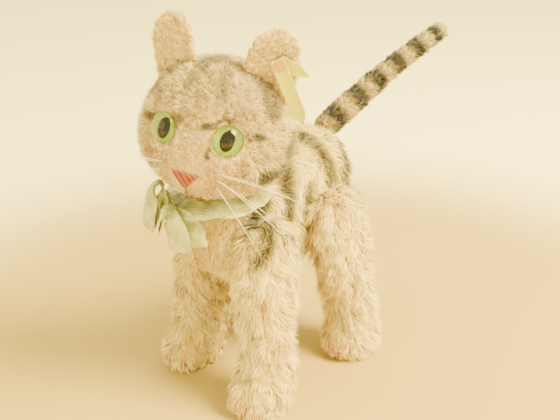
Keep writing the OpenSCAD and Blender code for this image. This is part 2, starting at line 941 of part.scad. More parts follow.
// The label hangs in front of the left ear and out past its edge, held by a stud
label_t = 0.4;
label_x = ear_width * 0.14;
label_z = ear_height / 2;
label_lean = 38;
label_ahead = 0.6 * ear_cup + ear_thick / 2 + 1;
stud_reach = label_ahead + ear_thick / 2 - ear_cup * pow(2 * label_x / ear_width, 2) + seat_gap;
stud_shank_r = 0.7;

module label_frame() {
    ear_frame(1)
        translate([label_x, -label_ahead, label_z])
            rotate([0, -label_lean, 0])
                children();
}

module ear_label() {
    color(label_yellow) placed() head_frame()
        label_frame()
            difference() {
                translate([-label_w / 2, -label_t, -label_length])
                    cube([label_w, label_t, label_length + label_w / 2]);
                rotate([90, 0, 0])
                    z_cylinder(-1, 1, stud_shank_r + seat_gap);
            }
}

module ear_stud() {
    color(brass) placed() head_frame()
        label_frame()
            rotate([90, 0, 0]) {
                z_cylinder(-stud_reach - 0.5, label_t + 0.5, stud_shank_r);
                z_cylinder(label_t + seat_gap, label_t + 0.8, stud_d / 2);
                z_cylinder(-stud_reach - 0.5, -stud_reach, 2 * stud_shank_r);
            }
}

// ---------------------------------------------------------------- tail

// The tail leaves the top of the rump; its round root turns clear of the torso
tail_station = 0.865;
tail_root_r = tail_root_d / 2;
rump_step = 0.02;
rump_slope =
    (torso_top(tail_station + rump_step) - torso_top(tail_station - rump_step)) / (2 * rump_step * body_length);
rump_normal = unit([0, -rump_slope, 1]);
tail_pivot =
    [0, chest_y + tail_station * body_length, torso_top(tail_station)] + (tail_root_r + body_gap) * rump_normal;
tail_along = [
    sin(tail_lean) * cos(tail_rise),
    cos(tail_lean) * cos(tail_rise),
    sin(tail_rise)
];
tail_up = unit([0, 0, 1] - (tail_along * [0, 0, 1]) * tail_along);

// Middle of the tail at the distance d from its pivot; the root's round end lies behind the pivot
function tail_middle(d) =
    let (t = max(d, 0) / tail_length)
    tail_pivot + d * tail_along + tail_bow * sin(180 * t) * tail_up;

function tail_radius(d) =
    tail_root_r + (tail_tip_d / 2 - tail_root_r) * min(max(d, 0) * 1.4 / tail_length, 1);

// The tail as rows of [distance from the pivot, radius]: a round root, a tapering length and a round tip
dome_rings = 4;
function tail_rows(inset) =
    let (root = tail_root_r - inset, tip = tail_tip_d / 2 - inset, tip_start = tail_length - inset - tip)
    concat(
        [for (i = [0 : dome_rings - 1]) let (a = 8 + 82 * i / dome_rings) [-root * cos(a), root * sin(a)]],
        [for (i = [0 : tail_rings]) let (d = tip_start * i / tail_rings) [d, tail_radius(d) - inset]],
        [for (i = [1 : dome_rings]) let (a = 82 * i / dome_rings) [tip_start + tip * sin(a), tip * cos(a)]]
    );

module tail_form(inset) {
    rows = tail_rows(inset);
    tube([for (row = rows) tail_middle(row[0])], [for (row = rows) row[1]], tail_sides);
}

// The tail's wire begins in an eye round the axis on which the tail bends
wire_eye_r = 1.9;
wire_eye_bore = 0.8;
wire_rings = 8;
wire_start = wire_eye_r - 0.3;
wire_length = 0.94 * tail_length - wire_eye_r;

module wire_form(grow) {
    path = [
        for (i = [0 : wire_rings])
            tail_middle(wire_start + wire_length * i / wire_rings)
    ];
    tube(path, [for (i = [0 : wire_rings]) tail_wire_d / 2 + grow], 8);
    translate(tail_pivot)
        rotate([0, 0, -tail_lean])
            x_cylinder(-tail_wire_d / 2 - grow, tail_wire_d / 2 + grow, wire_eye_r + grow);
}

module tail_skin() {
    color(taupe) placed()
        difference() {
            tail_form(0);
            tail_form(skin_t);
        }
}

module tail_stuffing() {
    color(wood_wool) placed()
        difference() {
            tail_form(skin_t + seat_gap);
            wire_form(seat_gap);
        }
}

module tail_wire() {
    color(steel) placed()
        difference() {
            wire_form(0);
            translate(tail_pivot)
                rotate([0, 0, -tail_lean])
                    x_cylinder(-tail_wire_d, tail_wire_d, wire_eye_bore);
        }
}

// ---------------------------------------------------------------- ribbon

// The collar lies round the neck as a shallow cone, higher behind than in front
collar_tilt = 5;
collar_inner_r = neck_d / 2 + 0.9;
collar_slope = 18;
collar_outer_r = collar_inner_r + ribbon_w * cos(collar_slope);
collar_fall = ribbon_w * sin(collar_slope);
collar_z = 2 * body_gap - head_rim_r * (sin(head_tilt) + sin(collar_tilt));
knot_r = 2.9;
knot_angle = 2;
knot_reach = collar_outer_r - 1;
knot_centre = neck_centre + [
    -knot_reach * sin(knot_angle),
    -knot_reach * cos(knot_angle),
    collar_z - collar_fall - collar_outer_r * sin(collar_tilt) + 1.5
];

module collar_ribbon() {
    color(satin) placed()
        translate(neck_centre + [0, 0, collar_z])
            rotate([collar_tilt, 0, 0])
                rotate_extrude($fn = 64)
                    polygon([
                        [collar_inner_r, -ribbon_t],
                        [collar_inner_r, 0],
                        [collar_outer_r, -collar_fall],
                        [collar_outer_r, -collar_fall - ribbon_t]
                    ]);
}

module bow_knot() {
    color(satin) placed()
        difference() {
            translate(knot_centre)
                rotate([90, 0, -knot_angle])
                    rotate_extrude($fn = 32)
                        polygon([
                            [0, -2.2], [knot_r * 0.6, -2.2], [knot_r, -1], [knot_r, 1.2], [knot_r * 0.7, 2.4], [0, 2.6]
                        ]);
            translate(neck_centre + [0, 0, collar_z])
                rotate([collar_tilt, 0, 0])
                    rotate_extrude($fn = 64)
                        polygon([
                            [collar_inner_r - 1, seat_gap],
                            [collar_outer_r + seat_gap, seat_gap - collar_fall],
                            [collar_outer_r + seat_gap, -collar_fall - ribbon_t - seat_gap],
                            [collar_inner_r - 1, -ribbon_t - seat_gap]
                        ]);
        }
}

// A bow loop from the knot out along a direction and back, open by gap
module bow_loop(start, along, across, length, gap) {
    open = unit(cross(along, across));
    steps = 10;
    strip(
        [
            for (i = [0 : steps])
                let (a = 360 * i / steps)
                start + along * length * (1 - cos(a)) / 2 + open * gap / 2 * sin(a) * sin(a / 2)
                + open * (i == 0 ? 0.5 : i == steps ? -0.5 : 0)
        ],
        across, ribbon_w, ribbon_t
    );
}

long_loop_dir = unit([-0.74, 0.05, -0.67]);
short_loop_dir = unit([-0.1, -0.12, -1]);

module bow_long_loop() {
    color(satin) placed()
        bow_loop(
            knot_centre + [-knot_r - 5.6, -1.8, 3.5], long_loop_dir, cross(long_loop_dir, [0.5, -1, 0]),
            bow_loop_length, 5
        );
}

module bow_short_loop() {
    color(satin) placed()
        bow_loop(
            knot_centre + [-4.3, -1, -knot_r - 0.6], short_loop_dir, [0.66, -0.75, 0],
            bow_loop_length / 2, 2.4
        );
}

// A ribbon end that hangs from the knot with a slight wave
module bow_end(start, length, lean, across) {
    strip(
        [
            for (i = [0 : 6])
                let (t = i / 6)
                start + [lean * t, 0.8 * sin(300 * t), -length * t]
        ],
        across, ribbon_w, ribbon_t
    );
}

module bow_long_end() {
    color(satin) placed()
        bow_end(knot_centre + [3, 0.2, -knot_r - 0.5], bow_tail_length - knot_r, 1, [1, 0.1, 0]);
}

module bow_short_end() {
    color(satin) placed()
        bow_end(knot_centre + [6.2, 3.4, -knot_r - 0.5], bow_tail_length * 0.75, 1.5, [0.95, 0.3, 0]);
}

// ---------------------------------------------------------------- place in the part's frame

// Outermost places of the whole cat, from which its middle is found
reach_points = concat(
    [for (p = whisker_path(1, 0)) head_centre + turn_point(p)],
    [for (k = [0 : whisker_count - 1]) head_centre + turn_point(whisker_path(1, k)[thread_rings])],
    [for (k = [0 : whisker_count - 1]) head_centre + turn_point(whisker_path(-1, k)[thread_rings])],
    [for (leg = legs) for (side = [-1, 1]) [leg[0] * leg[2] + side * paw_width / 2, leg[3], 0]],
    [for (leg = legs) [0, leg[3] - paw_length * 0.6 - thread_d, 0]],
    [head_centre + turn_point(on_head(facing(0, -nose_drop), 1))],
    [tail_middle(tail_length), [0, rump_y, 0]]
);
reach_x = [for (p = reach_points) p.x];
reach_y = [for (p = reach_points) p.y];
middle = [(min(reach_x) + max(reach_x)) / 2, (min(reach_y) + max(reach_y)) / 2, 0];

module placed() {
    translate(-middle)
        children();
}

torso_skin();
torso_stuffing();
torso_leg_discs();
torso_leg_washers();
leg_cotter_pins();
torso_neck_disc();
torso_neck_washer();
neck_cotter_pin();
left_front_leg_skin();
left_front_leg_stuffing();
left_front_leg_disc();
left_front_leg_washer();
left_front_claws();
right_front_leg_skin();
right_front_leg_stuffing();
right_front_leg_disc();
right_front_leg_washer();
right_front_claws();
left_hind_leg_skin();
left_hind_leg_stuffing();
left_hind_leg_disc();
left_hind_leg_washer();
left_hind_claws();
right_hind_leg_skin();
right_hind_leg_stuffing();
right_hind_leg_disc();
right_hind_leg_washer();
right_hind_claws();
head_skin();
head_stuffing();
head_neck_disc();
head_neck_washer();
left_ear();
right_ear();
left_eye_glass();
right_eye_glass();
eye_pupils();
eye_backings();
eye_shanks();
nose_stitching();
mouth_stitching();
left_whiskers();
right_whiskers();
ear_stud();
ear_label();
tail_skin();
tail_stuffing();
tail_wire();
collar_ribbon();
bow_knot();
bow_long_loop();
bow_short_loop();
bow_long_end();
bow_short_end();
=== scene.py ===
"""Jointed mohair kitten, stuffed with wood wool.

Skins, pile, glass eyes, floss, ribbon and label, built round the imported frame.
"""

import json
import math

import bpy
import numpy as np
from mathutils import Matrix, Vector
from mathutils.bvhtree import BVHTree


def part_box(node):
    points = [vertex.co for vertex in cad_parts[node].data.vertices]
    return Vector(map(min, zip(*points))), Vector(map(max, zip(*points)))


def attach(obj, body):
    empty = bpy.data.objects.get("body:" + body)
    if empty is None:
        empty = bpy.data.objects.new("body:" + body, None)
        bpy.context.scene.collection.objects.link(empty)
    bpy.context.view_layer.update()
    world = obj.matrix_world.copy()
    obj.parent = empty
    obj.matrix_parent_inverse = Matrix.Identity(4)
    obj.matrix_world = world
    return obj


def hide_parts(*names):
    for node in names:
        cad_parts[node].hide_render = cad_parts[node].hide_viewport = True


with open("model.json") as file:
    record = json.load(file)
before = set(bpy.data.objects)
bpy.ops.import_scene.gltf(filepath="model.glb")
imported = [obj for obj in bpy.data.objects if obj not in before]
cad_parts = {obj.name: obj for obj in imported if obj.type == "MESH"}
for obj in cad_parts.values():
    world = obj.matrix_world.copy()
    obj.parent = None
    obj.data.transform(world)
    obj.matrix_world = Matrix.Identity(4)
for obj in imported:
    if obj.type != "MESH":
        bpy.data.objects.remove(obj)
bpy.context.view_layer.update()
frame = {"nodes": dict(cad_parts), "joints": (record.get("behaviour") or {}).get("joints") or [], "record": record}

MM = 0.001
UP = np.array([0.0, 0.0, 1.0])
JOINTS = {joint["name"]: joint for joint in frame["joints"]}
SOLES = {mount["name"]: np.array(mount["pos_m"]) for mount in frame["record"]["mounts"]}
LEGS = ("left_front", "right_front", "left_hind", "right_hind")


# ---------------------------------------------------------------- places on the frame

def unit(v):
    """v, or each row of v, at length 1."""
    return v / np.maximum(np.linalg.norm(v, axis=-1, keepdims=True), 1e-12)


def corners(node):
    """Every vertex of a CAD node, in the row frame."""
    mesh = frame["nodes"][node].data
    co = np.empty(len(mesh.vertices) * 3, np.float32)
    mesh.vertices.foreach_get("co", co)
    return co.reshape(-1, 3).astype(float)


NECK = np.array(JOINTS["neck_swivel"]["pos_m"])
MID_X, _, PIN_Z = JOINTS["left_front_shoulder"]["pos_m"]
TAIL_PIVOT = np.array(JOINTS["tail_bend"]["pos_m"])
HEAD_UP = unit(np.array(JOINTS["neck_swivel"]["axis"]))
eye_line = corners("left_eye_glass").mean(0) - corners("right_eye_glass").mean(0)
HEAD_LEFT = unit(eye_line - (eye_line @ HEAD_UP) * HEAD_UP)
HEAD_FORWARD = np.cross(HEAD_LEFT, HEAD_UP)
head_points = corners("head_skin")
SEAM_TO_MIDDLE = 0.4765     # share of the head's height at which its middle lies
BACK_TO_MIDDLE = 0.47       # distance from its back to its middle, as a share of its width


def reach_along(points, way):
    run = points @ way
    return run.min(), run.max()


def head_middle():
    """Middle of the round head, muzzle left out."""
    side = reach_along(head_points, HEAD_LEFT)
    rise = reach_along(head_points, HEAD_UP)
    back = reach_along(head_points, HEAD_FORWARD)[0]
    return (HEAD_LEFT * sum(side) / 2
            + HEAD_UP * (rise[0] + SEAM_TO_MIDDLE * (rise[1] - rise[0]))
            + HEAD_FORWARD * (back + BACK_TO_MIDDLE * (side[1] - side[0])))


HEAD = head_middle()


def head_way(aside, rise):
    """Direction at an angle to the head's left of straight ahead, and an angle above its middle."""
    a, r = math.radians(aside), math.radians(rise)
    return (HEAD_LEFT * math.sin(a) + HEAD_FORWARD * math.cos(a)) * math.cos(r) + HEAD_UP * math.sin(r)


EYE_ASIDE, EYE_RISE = 27.5, 7.0
EYE_R = 5.1 * MM
EYE_DOME = 2.7 * MM


def eye_place(side):
    """Middle of an eye's rim and the way it faces."""
    points = corners(("left" if side > 0 else "right") + "_eye_glass")
    way = head_way(side * EYE_ASIDE, EYE_RISE)
    top = (points @ way).max()
    middle = points.mean(0)
    return middle + way * (top - EYE_DOME - middle @ way), way


EYES = {side: eye_place(side) for side in (1, -1)}
NOSE_DROP = 22.5
NOSE_WAY = head_way(0, -NOSE_DROP)


# ---------------------------------------------------------------- meshes

def new_object(name, mesh, material, body):
    """A finished mesh as a piece that rides on a CAD body."""
    made = bpy.data.objects.new(name, mesh)
    bpy.context.scene.collection.objects.link(made)
    mesh.materials.append(material)
    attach(made, body)
    return made


def mesh_of(name, points, faces, smooth=True):
    mesh = bpy.data.meshes.new(name)
    mesh.from_pydata([tuple(p) for p in points], [], faces)
    mesh.polygons.foreach_set("use_smooth", [smooth] * len(mesh.polygons))
    mesh.update()
    return mesh


def point_values(mesh, name, values):
    mesh.attributes.new(name, "FLOAT", "POINT").data.foreach_set("value", np.asarray(values, np.float32))


def tree_of(*nodes):
    """A search tree over the surfaces of CAD nodes."""
    points, faces = [], []
    for node in nodes:
        mesh = frame["nodes"][node].data
        start = len(points)
        points += [tuple(v.co) for v in mesh.vertices]
        faces += [[start + i for i in polygon.vertices] for polygon in mesh.polygons]
    return BVHTree.FromPolygons(points, faces)


def wrap(nodes, start, end, rows, sides, cap_rows):
    """A closed grid drawn in from outside onto CAD nodes, round the line from start to end."""
    tree = tree_of(*nodes)
    along = unit(end - start)
    first = unit(np.cross(along, [0.31, 0.94, 0.13]))
    second = np.cross(along, first)
    far = 90 * MM
    stations = [(start, -90 + 90 * i / cap_rows) for i in range(1, cap_rows)]
    stations += [(start + (end - start) * i / rows, 0) for i in range(rows + 1)]
    stations += [(end, 90 * i / cap_rows) for i in range(1, cap_rows)]
    rays = [(start, -along)]
    for base, lean in stations:
        lean = math.radians(lean)
        for j in range(sides):
            turn = 2 * math.pi * j / sides
            ring = first * math.cos(turn) + second * math.sin(turn)
            rays.append((base, ring * math.cos(lean) + along * math.sin(lean)))
    rays.append((end, along))
    points = []
    for base, way in rays:
        hit = tree.ray_cast(Vector(base + way * far), Vector(-way), far)[0]
        points.append(np.array(hit) if hit is not None else base + way * MM)
    faces = [(0, 1 + (j + 1) % sides, 1 + j) for j in range(sides)]
    last = len(points) - 1
    for i in range(len(stations) - 1):
        for j in range(sides):
            a, b = 1 + i * sides + j, 1 + i * sides + (j + 1) % sides
            faces.append((a, b, b + sides, a + sides))
    top = last - sides
    faces += [(top + j, top + (j + 1) % sides, last) for j in range(sides)]
    return np.array(points), faces


def relaxed(points, faces, rounds, share):
    """Points drawn towards the mean of their neighbours, which takes the CAD's facets out."""
    edges = np.array([(f[i], f[(i + 1) % len(f)]) for f in faces for i in range(len(f))])
    edges = np.concatenate([edges, edges[:, ::-1]])
    count = np.bincount(edges[:, 0], minlength=len(points))[:, None]
    for _ in range(rounds):
        total = np.zeros_like(points)
        np.add.at(total, edges[:, 0], points[edges[:, 1]])
        points = points + share * (total / count - points)
    return points


def surface_of(made):
    """Points, triangles and point normals of a piece as shown."""
    shown = made.evaluated_get(bpy.context.evaluated_depsgraph_get()).to_mesh()
    shown.calc_loop_triangles()
    points = np.empty(len(shown.vertices) * 3, np.float32)
    shown.vertices.foreach_get("co", points)
    triangles = np.empty(len(shown.loop_triangles) * 3, np.int32)
    shown.loop_triangles.foreach_get("vertices", triangles)
    points, triangles = points.reshape(-1, 3).astype(float), triangles.reshape(-1, 3)
    a, b, c = (points[triangles[:, i]] for i in range(3))
    facing = np.cross(b - a, c - a)
    normals = np.zeros_like(points)
    for i in range(3):
        np.add.at(normals, triangles[:, i], facing)
    return points, triangles, unit(normals)


# ---------------------------------------------------------------- materials

def linear(colour):
    """An sRGB hex colour as the linear colour that a shader takes."""
    parts = [int(colour[i:i + 2], 16) / 255 for i in (1, 3, 5)]
    return (*[c / 12.92 if c <= 0.04045 else ((c + 0.055) / 1.055) ** 2.4 for c in parts], 1.0)


def add(tree, kind, settings=(), **links):
    """A node of a kind, with its settings by name and its inputs linked; n0 and n1 are inputs by number."""
    node = tree.nodes.new("ShaderNode" + kind)
    for key, value in dict(settings).items():
        if isinstance(key, str) and hasattr(node, key):
            setattr(node, key, value)
        else:
            node.inputs[key].default_value = value
    for key, source in links.items():
        name = key.replace("__", " ")
        tree.links.new(source, node.inputs[int(name[1:]) if name[0] == "n" and name[1:].isdigit() else name])
    return node


def shader(name, **sockets):
    """A new material and its tree, with constants set on the shader's own sockets."""
    made = bpy.data.materials.new(name)
    made.use_nodes = True
    principled = made.node_tree.nodes["Principled BSDF"]
    for key, value in sockets.items():
        principled.inputs[key.replace("_", " ")].default_value = value
    return made, made.node_tree, principled


def mixed(tree, factor, low, high, blend="MIX"):
    """Colour output of a mix; low and high are hex colours or sockets."""
    node = add(tree, "Mix", {"data_type": "RGBA", "blend_type": blend})
    for socket, value in ((0, factor), (6, low), (7, high)):
        if isinstance(value, str):
            node.inputs[socket].default_value = linear(value)
        elif isinstance(value, (int, float)):
            node.inputs[socket].default_value = value
        else:
            tree.links.new(value, node.inputs[socket])
    return node.outputs[2]


def rough_bump(tree, principled, height, depth):
    """Relief of a real depth in metres on the shader's normal."""
    bump = add(tree, "Bump", {"Strength": 1.0, "Distance": depth}, Height=height)
    tree.links.new(bump.outputs["Normal"], principled.inputs["Normal"])


def mohair(name, root, pale, warm, dark_root, dark_tip):
    """Mohair pile, cut and brushed: pale lustrous hairs, darker and warmer at the root as painted shade deep in
    the pile, airbrushed in places.
    """
    made, tree, principled = shader(
        name, Roughness=0.62, Specular_IOR_Level=0.35, Sheen_Weight=0.35, Sheen_Roughness=0.45
    )
    mark = add(tree, "Attribute", {"attribute_name": "mark"}).outputs["Fac"]
    tone = add(tree, "Attribute", {"attribute_name": "tone"}).outputs["Fac"]
    along = add(tree, "Attribute", {"attribute_name": "along"}).outputs["Fac"]
    plain = mixed(tree, tone, warm, pale)
    # painted shade: towards the root each hair takes 55% of the root colour, standing in for shade deep in the
    # pile; marked hairs likewise run from the darker dark_root to the paler dark_tip
    plain = mixed(tree, along, mixed(tree, 0.55, plain, root), plain)
    dark = mixed(tree, along, dark_root, dark_tip)
    tree.links.new(mixed(tree, mark, plain, dark), principled.inputs["Base Color"])
    return made


def backing_cloth(name, pale, warm, dark):
    """The pile's foot on its woven back: the hairs' own colours, mottled every couple of millimetres."""
    made, tree, principled = shader(name, Roughness=0.85, Sheen_Weight=0.4, Sheen_Roughness=0.5)
    place = add(tree, "TexCoord").outputs["Object"]
    mark = add(tree, "Attribute", {"attribute_name": "mark"}).outputs["Fac"]
    tufts = add(tree, "TexNoise", {"Scale": 1 / (2.2 * MM), "Detail": 3.0}, Vector=place).outputs["Fac"]
    tree.links.new(mixed(tree, mark, mixed(tree, tufts, warm, pale), dark), principled.inputs["Base Color"])
    fine = add(tree, "TexNoise", {"Scale": 1 / (0.5 * MM), "Detail": 2.0}, Vector=place).outputs["Fac"]
    rough_bump(tree, principled, fine, 0.4 * MM)
    return made


WAVE_SPAN = 0.314   # a wave texture's scale times the distance between its bands


def bands(tree, place, spacing, way, distortion=0.0):
    """Bands at a real spacing in metres."""
    settings = {"Scale": WAVE_SPAN / spacing, "Distortion": distortion, "bands_direction": way}
    return add(tree, "TexWave", settings, Vector=place).outputs["Fac"]


def floss(name, light, deep, twist):
    """Embroidery floss or twisted thread: soft sheen, with strands that wind round it every twist metres."""
    made, tree, principled = shader(name, Roughness=0.5, Sheen_Weight=0.3, Specular_IOR_Level=0.35)
    place = add(tree, "TexCoord").outputs["Object"]
    strands = bands(tree, place, twist, "DIAGONAL", 1.5)
    tree.links.new(mixed(tree, strands, deep, light), principled.inputs["Base Color"])
    rough_bump(tree, principled, strands, 0.12 * MM)
    return made


def satin_weave(name, light, deep):
    """Satin ribbon, woven: long floats across it give a silky gloss, and age gives it faint creases, painted
    darker in their hollows as shade.
    """
    made, tree, principled = shader(
        name, Roughness=0.38, Specular_IOR_Level=0.55, Sheen_Weight=0.25, Anisotropic=0.5
    )
    place = add(tree, "TexCoord").outputs["Object"]
    creases_and_painted_shade = add(tree, "TexNoise", {"Scale": 1 / (5 * MM), "Detail": 4.0}, Vector=place).outputs["Fac"]
    # painted shade: the colour runs to the deep one in the hollows of the crease relief
    ramp = add(tree, "MapRange", {"From Min": 0.35, "From Max": 0.65}, Value=creases_and_painted_shade).outputs["Result"]
    tree.links.new(mixed(tree, ramp, deep, light), principled.inputs["Base Color"])
    # floats 0.1 mm apart are drawn at 0.5 mm, so that they show
    floats = bands(tree, place, 0.5 * MM, "Z")
    relief = add(tree, "Math", {"operation": "ADD"}, n0=floats, n1=creases_and_painted_shade).outputs[0]
    rough_bump(tree, principled, relief, 0.12 * MM)
    return made


def tape_weave(name, light, deep):
    """Narrow woven cotton tape, plain: threads over and under every 0.6 mm, a little grubby."""
    made, tree, principled = shader(name, Roughness=0.8, Specular_IOR_Level=0.15)
    place = add(tree, "TexCoord").outputs["Object"]
    warp = bands(tree, place, 0.6 * MM, "X")
    weft = bands(tree, place, 0.6 * MM, "Z")
    weave = add(tree, "Math", {"operation": "MULTIPLY"}, n0=warp, n1=weft).outputs[0]
    dirt = add(tree, "TexNoise", {"Scale": 1 / (4 * MM), "Detail": 5.0}, Vector=place).outputs["Fac"]
    colour = mixed(tree, weave, deep, light)
    soiled = add(tree, "MapRange", {"From Min": 0.5, "From Max": 0.75, "To Max": 0.2}, Value=dirt)
    tree.links.new(mixed(tree, soiled.outputs["Result"], colour, "#b98a2c"), principled.inputs["Base Color"])
    rough_bump(tree, principled, weave, 0.1 * MM)
    return made


def plain_finish(name, light, deep, grain, depth, **sockets):
    """A finish whose colour and surface vary over a grain of a real size in metres."""
    made, tree, principled = shader(name, **sockets)
    place = add(tree, "TexCoord").outputs["Object"]
    spread = add(tree, "TexNoise", {"Scale": 1 / grain, "Detail": 4.0}, Vector=place).outputs["Fac"]
    tree.links.new(mixed(tree, spread, deep, light), principled.inputs["Base Color"])
    rough_bump(tree, principled, spread, depth)
    return made


def enamelled_iris(name):
    """Fired enamel behind glass: lime green, darker towards the rim, with fine rays from the pupil."""
    made, tree, principled = shader(name, Roughness=0.25, Specular_IOR_Level=0.5)
    radius = add(tree, "Attribute", {"attribute_name": "radius"}).outputs["Fac"]
    ray = add(tree, "Attribute", {"attribute_name": "ray"}).outputs["Fac"]
    rim = add(tree, "MapRange", {"From Min": 0.55, "From Max": 1.0}, Value=radius).outputs["Result"]
    inner = add(tree, "MapRange", {"From Min": 0.35, "From Max": 0.8}, Value=radius).outputs["Result"]
    colour = mixed(tree, rim, mixed(tree, inner, "#6a8208", "#88a012"), "#36440a")
    bright = add(tree, "Math", {"operation": "MULTIPLY", 1: 0.25}, n0=ray).outputs[0]
    tree.links.new(mixed(tree, bright, colour, "#b4c43a"), principled.inputs["Base Color"])
    return made


# the second colour of each pile is the painted shade at its roots
BODY_HAIR = mohair("brushed_mohair_cream", "#9c7826", "#fff09c", "#e4ba48", "#1c1713", "#2c241d")
FACE_HAIR = mohair("clipped_mohair_face", "#7c5c24", "#efdb98", "#a98440", "#201a15", "#342b23")
TAIL_HAIR = mohair("clipped_mohair_tail", "#705628", "#d2be7c", "#98783e", "#14110e", "#221c17")
# ear pile painted paler than the face's: painted light for ears lit through from behind
EAR_HAIR_PAINTED_BACKLIT = mohair("clipped_mohair_ear", "#cb9a40", "#fff0a8", "#f3cc6a", "#3b3028", "#5c4f42")
BODY_CLOTH = backing_cloth("mohair_foot_cream", "#e9c880", "#cda45e", "#3a3028")
FACE_CLOTH = backing_cloth("mohair_foot_face", "#d8b474", "#b78c50", "#3a3028")
TAIL_CLOTH = backing_cloth("mohair_foot_tail", "#bfa273", "#9a7c50", "#2b2520")
NOSE_FLOSS = floss("stitched_floss_coral", "#983c0c", "#5e2204", 1.2 * MM)
CLAW_FLOSS = floss("stitched_floss_orange", "#df9a6c", "#c07a4e", 1.2 * MM)
MOUTH_THREAD = floss("twisted_thread_brown", "#6e5542", "#43332a", 0.9 * MM)
RIBBON_SATIN = satin_weave("woven_satin_mint", "#c4c682", "#8e8c48")
LABEL_TAPE = tape_weave("woven_cotton_tape_yellow", "#e0dc00", "#b8b000")
IRIS_ENAMEL = enamelled_iris("fired_enamel_green")
EYE_GLASS, _, _ = shader(
    "blown_glass_clear", Base_Color=linear("#fbfff2"), Roughness=0.015, IOR=1.36, Transmission_Weight=1.0
)
PUPIL_GLASS = plain_finish(
    "pressed_glass_black", "#060505", "#030302", 1 * MM, 0.002 * MM, Roughness=0.3, Specular_IOR_Level=0.1
)
BRISTLE = plain_finish(
    "drawn_bristle_clear", "#fbf6e6", "#efe4c6", 3 * MM, 0.01 * MM, Roughness=0.3, Specular_IOR_Level=0.6
)
INNER_FINISHES = {
    # fine curled shavings, packed: strands about half a millimetre wide
    "wood_wool": plain_finish("packed_wood_wool", "#e2cc97", "#b4935a", 0.7 * MM, 0.5 * MM, Roughness=0.8),
    # pressed wood fibre, hard and even, with a faint fleck
    "hardboard": plain_finish("pressed_hardboard", "#94694a", "#6f4a30", 0.5 * MM, 0.05 * MM, Roughness=0.65),
    # drawn and stamped steel wire and washers, dull with a little oil
    "steel": plain_finish("drawn_steel", "#b9bdc0", "#8d9194", 0.8 * MM, 0.02 * MM, Metallic=1.0,
                          Roughness=0.35),
    # stamped brass, tarnished to a warm dull gold
    "stud_brass": plain_finish("stamped_brass", "#cfae62", "#94743a", 1 * MM, 0.03 * MM, Metallic=1.0,
                               Roughness=0.42),
    "claw_floss": CLAW_FLOSS,
    "mouth_thread": MOUTH_THREAD,
}


def finish_cad_nodes():
    """Gives each CAD node that stays its own finish."""
    slots = {part["node"]: part["material_slot"] for part in frame["record"]["subparts"]}
    for name, node in frame["nodes"].items():
        finish = INNER_FINISHES.get(slots.get(name))
        if finish is None:
            continue
        node.data.materials.clear()
        node.data.materials.append(finish)


# ---------------------------------------------------------------- markings

def mark_on(points, strokes):
    """How dark the airbrush left each point, from strokes of (points, half width in mm, strength)."""
    dark = np.zeros(len(points))
    for line, half, strength in strokes:
        near = np.full(len(points), 1e9)
        for a, b in zip(line[:-1], line[1:]):
            run = b - a
            t = np.clip((points - a) @ run / (run @ run), 0, 1)
            near = np.minimum(near, np.linalg.norm(points - (a + t[:, None] * run), axis=1))
        dark = np.maximum(dark, strength * np.clip(2.0 - near / (half * MM), 0, 1))
    return dark


def both_sides(strokes, change):
    """Strokes of the left side and, turned over and a little changed, of the right."""
    rng = np.random.default_rng(17)
    turned_over = []
    for line, half, strength in strokes:
        shift = rng.normal(0, change, np.array(line).shape[1])
        turned_over.append(([np.array([-at[0], *at[1:]]) + shift for at in line], half, strength * 0.9))
    return strokes + turned_over


def mottled(points, size, seed):
    """Soft uneven patches of a size, from about -1 to 1."""
    rng = np.random.default_rng(seed)
    waves = rng.normal(0, 0.5 / size, (12, 3))
    return np.sin(2 * math.pi * (points @ waves.T + rng.random(12))).mean(1) * 2.4


# Airbrushed marks on the left: millimetres left of the middle, behind the front pin and above it,
# then the half width of the mark's dark core and how dark it is
BODY_STROKES = both_sides([
    ([(2, 19.5, 24), (6.4, 19.1, 20.4), (8.5, 16.9, 15.8), (8.8, 16.9, 10), (8.8, 16.3, 4)], 2.3, 0.85),
    ([(8.8, 28.0, 14), (8.8, 27.7, 8.8), (8.8, 26.6, 3)], 1.8, 0.8),
    ([(8.7, 6.2, 14), (8.8, 1.4, 10), (13.8, -5, 9.3)], 2.0, 0.9),
    ([(17.4, -2.4, 9.5), (18.9, -5.6, 4.6), (18.5, -8.2, -1)], 1.8, 0.85),
    ([(3, 34, 29), (8.6, 37.1, 22.9), (8.8, 39.4, 19.2), (8.8, 42.5, 13)], 2.2, 0.8),
    ([(6, 52, 24), (9, 53, 18), (11, 53, 11), (14, 51, 6)], 3.6, 0.85),
    ([(19.2, 4.4, 4.8), (18.9, 6.9, 1.6)], 1.5, 0.4),
    ([(2, 44, 31), (6.7, 43, 28)], 1.8, 0.5),
], 1.2)
# The same on the head: degrees to the head's left and degrees above its middle
HEAD_STROKES = both_sides([
    ([(78, 58), (73, 41), (70, 27)], 2.6, 0.75), ([(99, 0), (82, -4)], 2.1, 0.85),
    ([(94, -14), (82, -21), (62, -23)], 2.2, 0.95), ([(58, -39), (60, -40)], 1.0, 0.5),
    ([(44, 10), (54, 9)], 1.0, 0.8), ([(9, 16), (17, 17)], 0.9, 0.8), ([(14, 0), (14, -5)], 0.6, 0.8),
    ([(24, 62), (22, 52), (21, 41)], 1.7, 0.55), ([(140, 40), (150, 20), (160, 5)], 2.4, 0.6),
    ([(120, 20), (128, 5), (132, -10)], 2.4, 0.6),
], 1.5) + [
    ([(-25, 84), (-30, 70)], 2.6, 0.7), ([(52, 76), (60, 64)], 2.0, 0.6), ([(20, 20), (30, 22)], 1.0, 0.7),
    ([(46, 63), (34, 43), (37, 29)], 5.0, 0.26), ([(-8, 48), (-6, 34)], 4.0, 0.2),
]
HEAD_BALL = 26 * MM
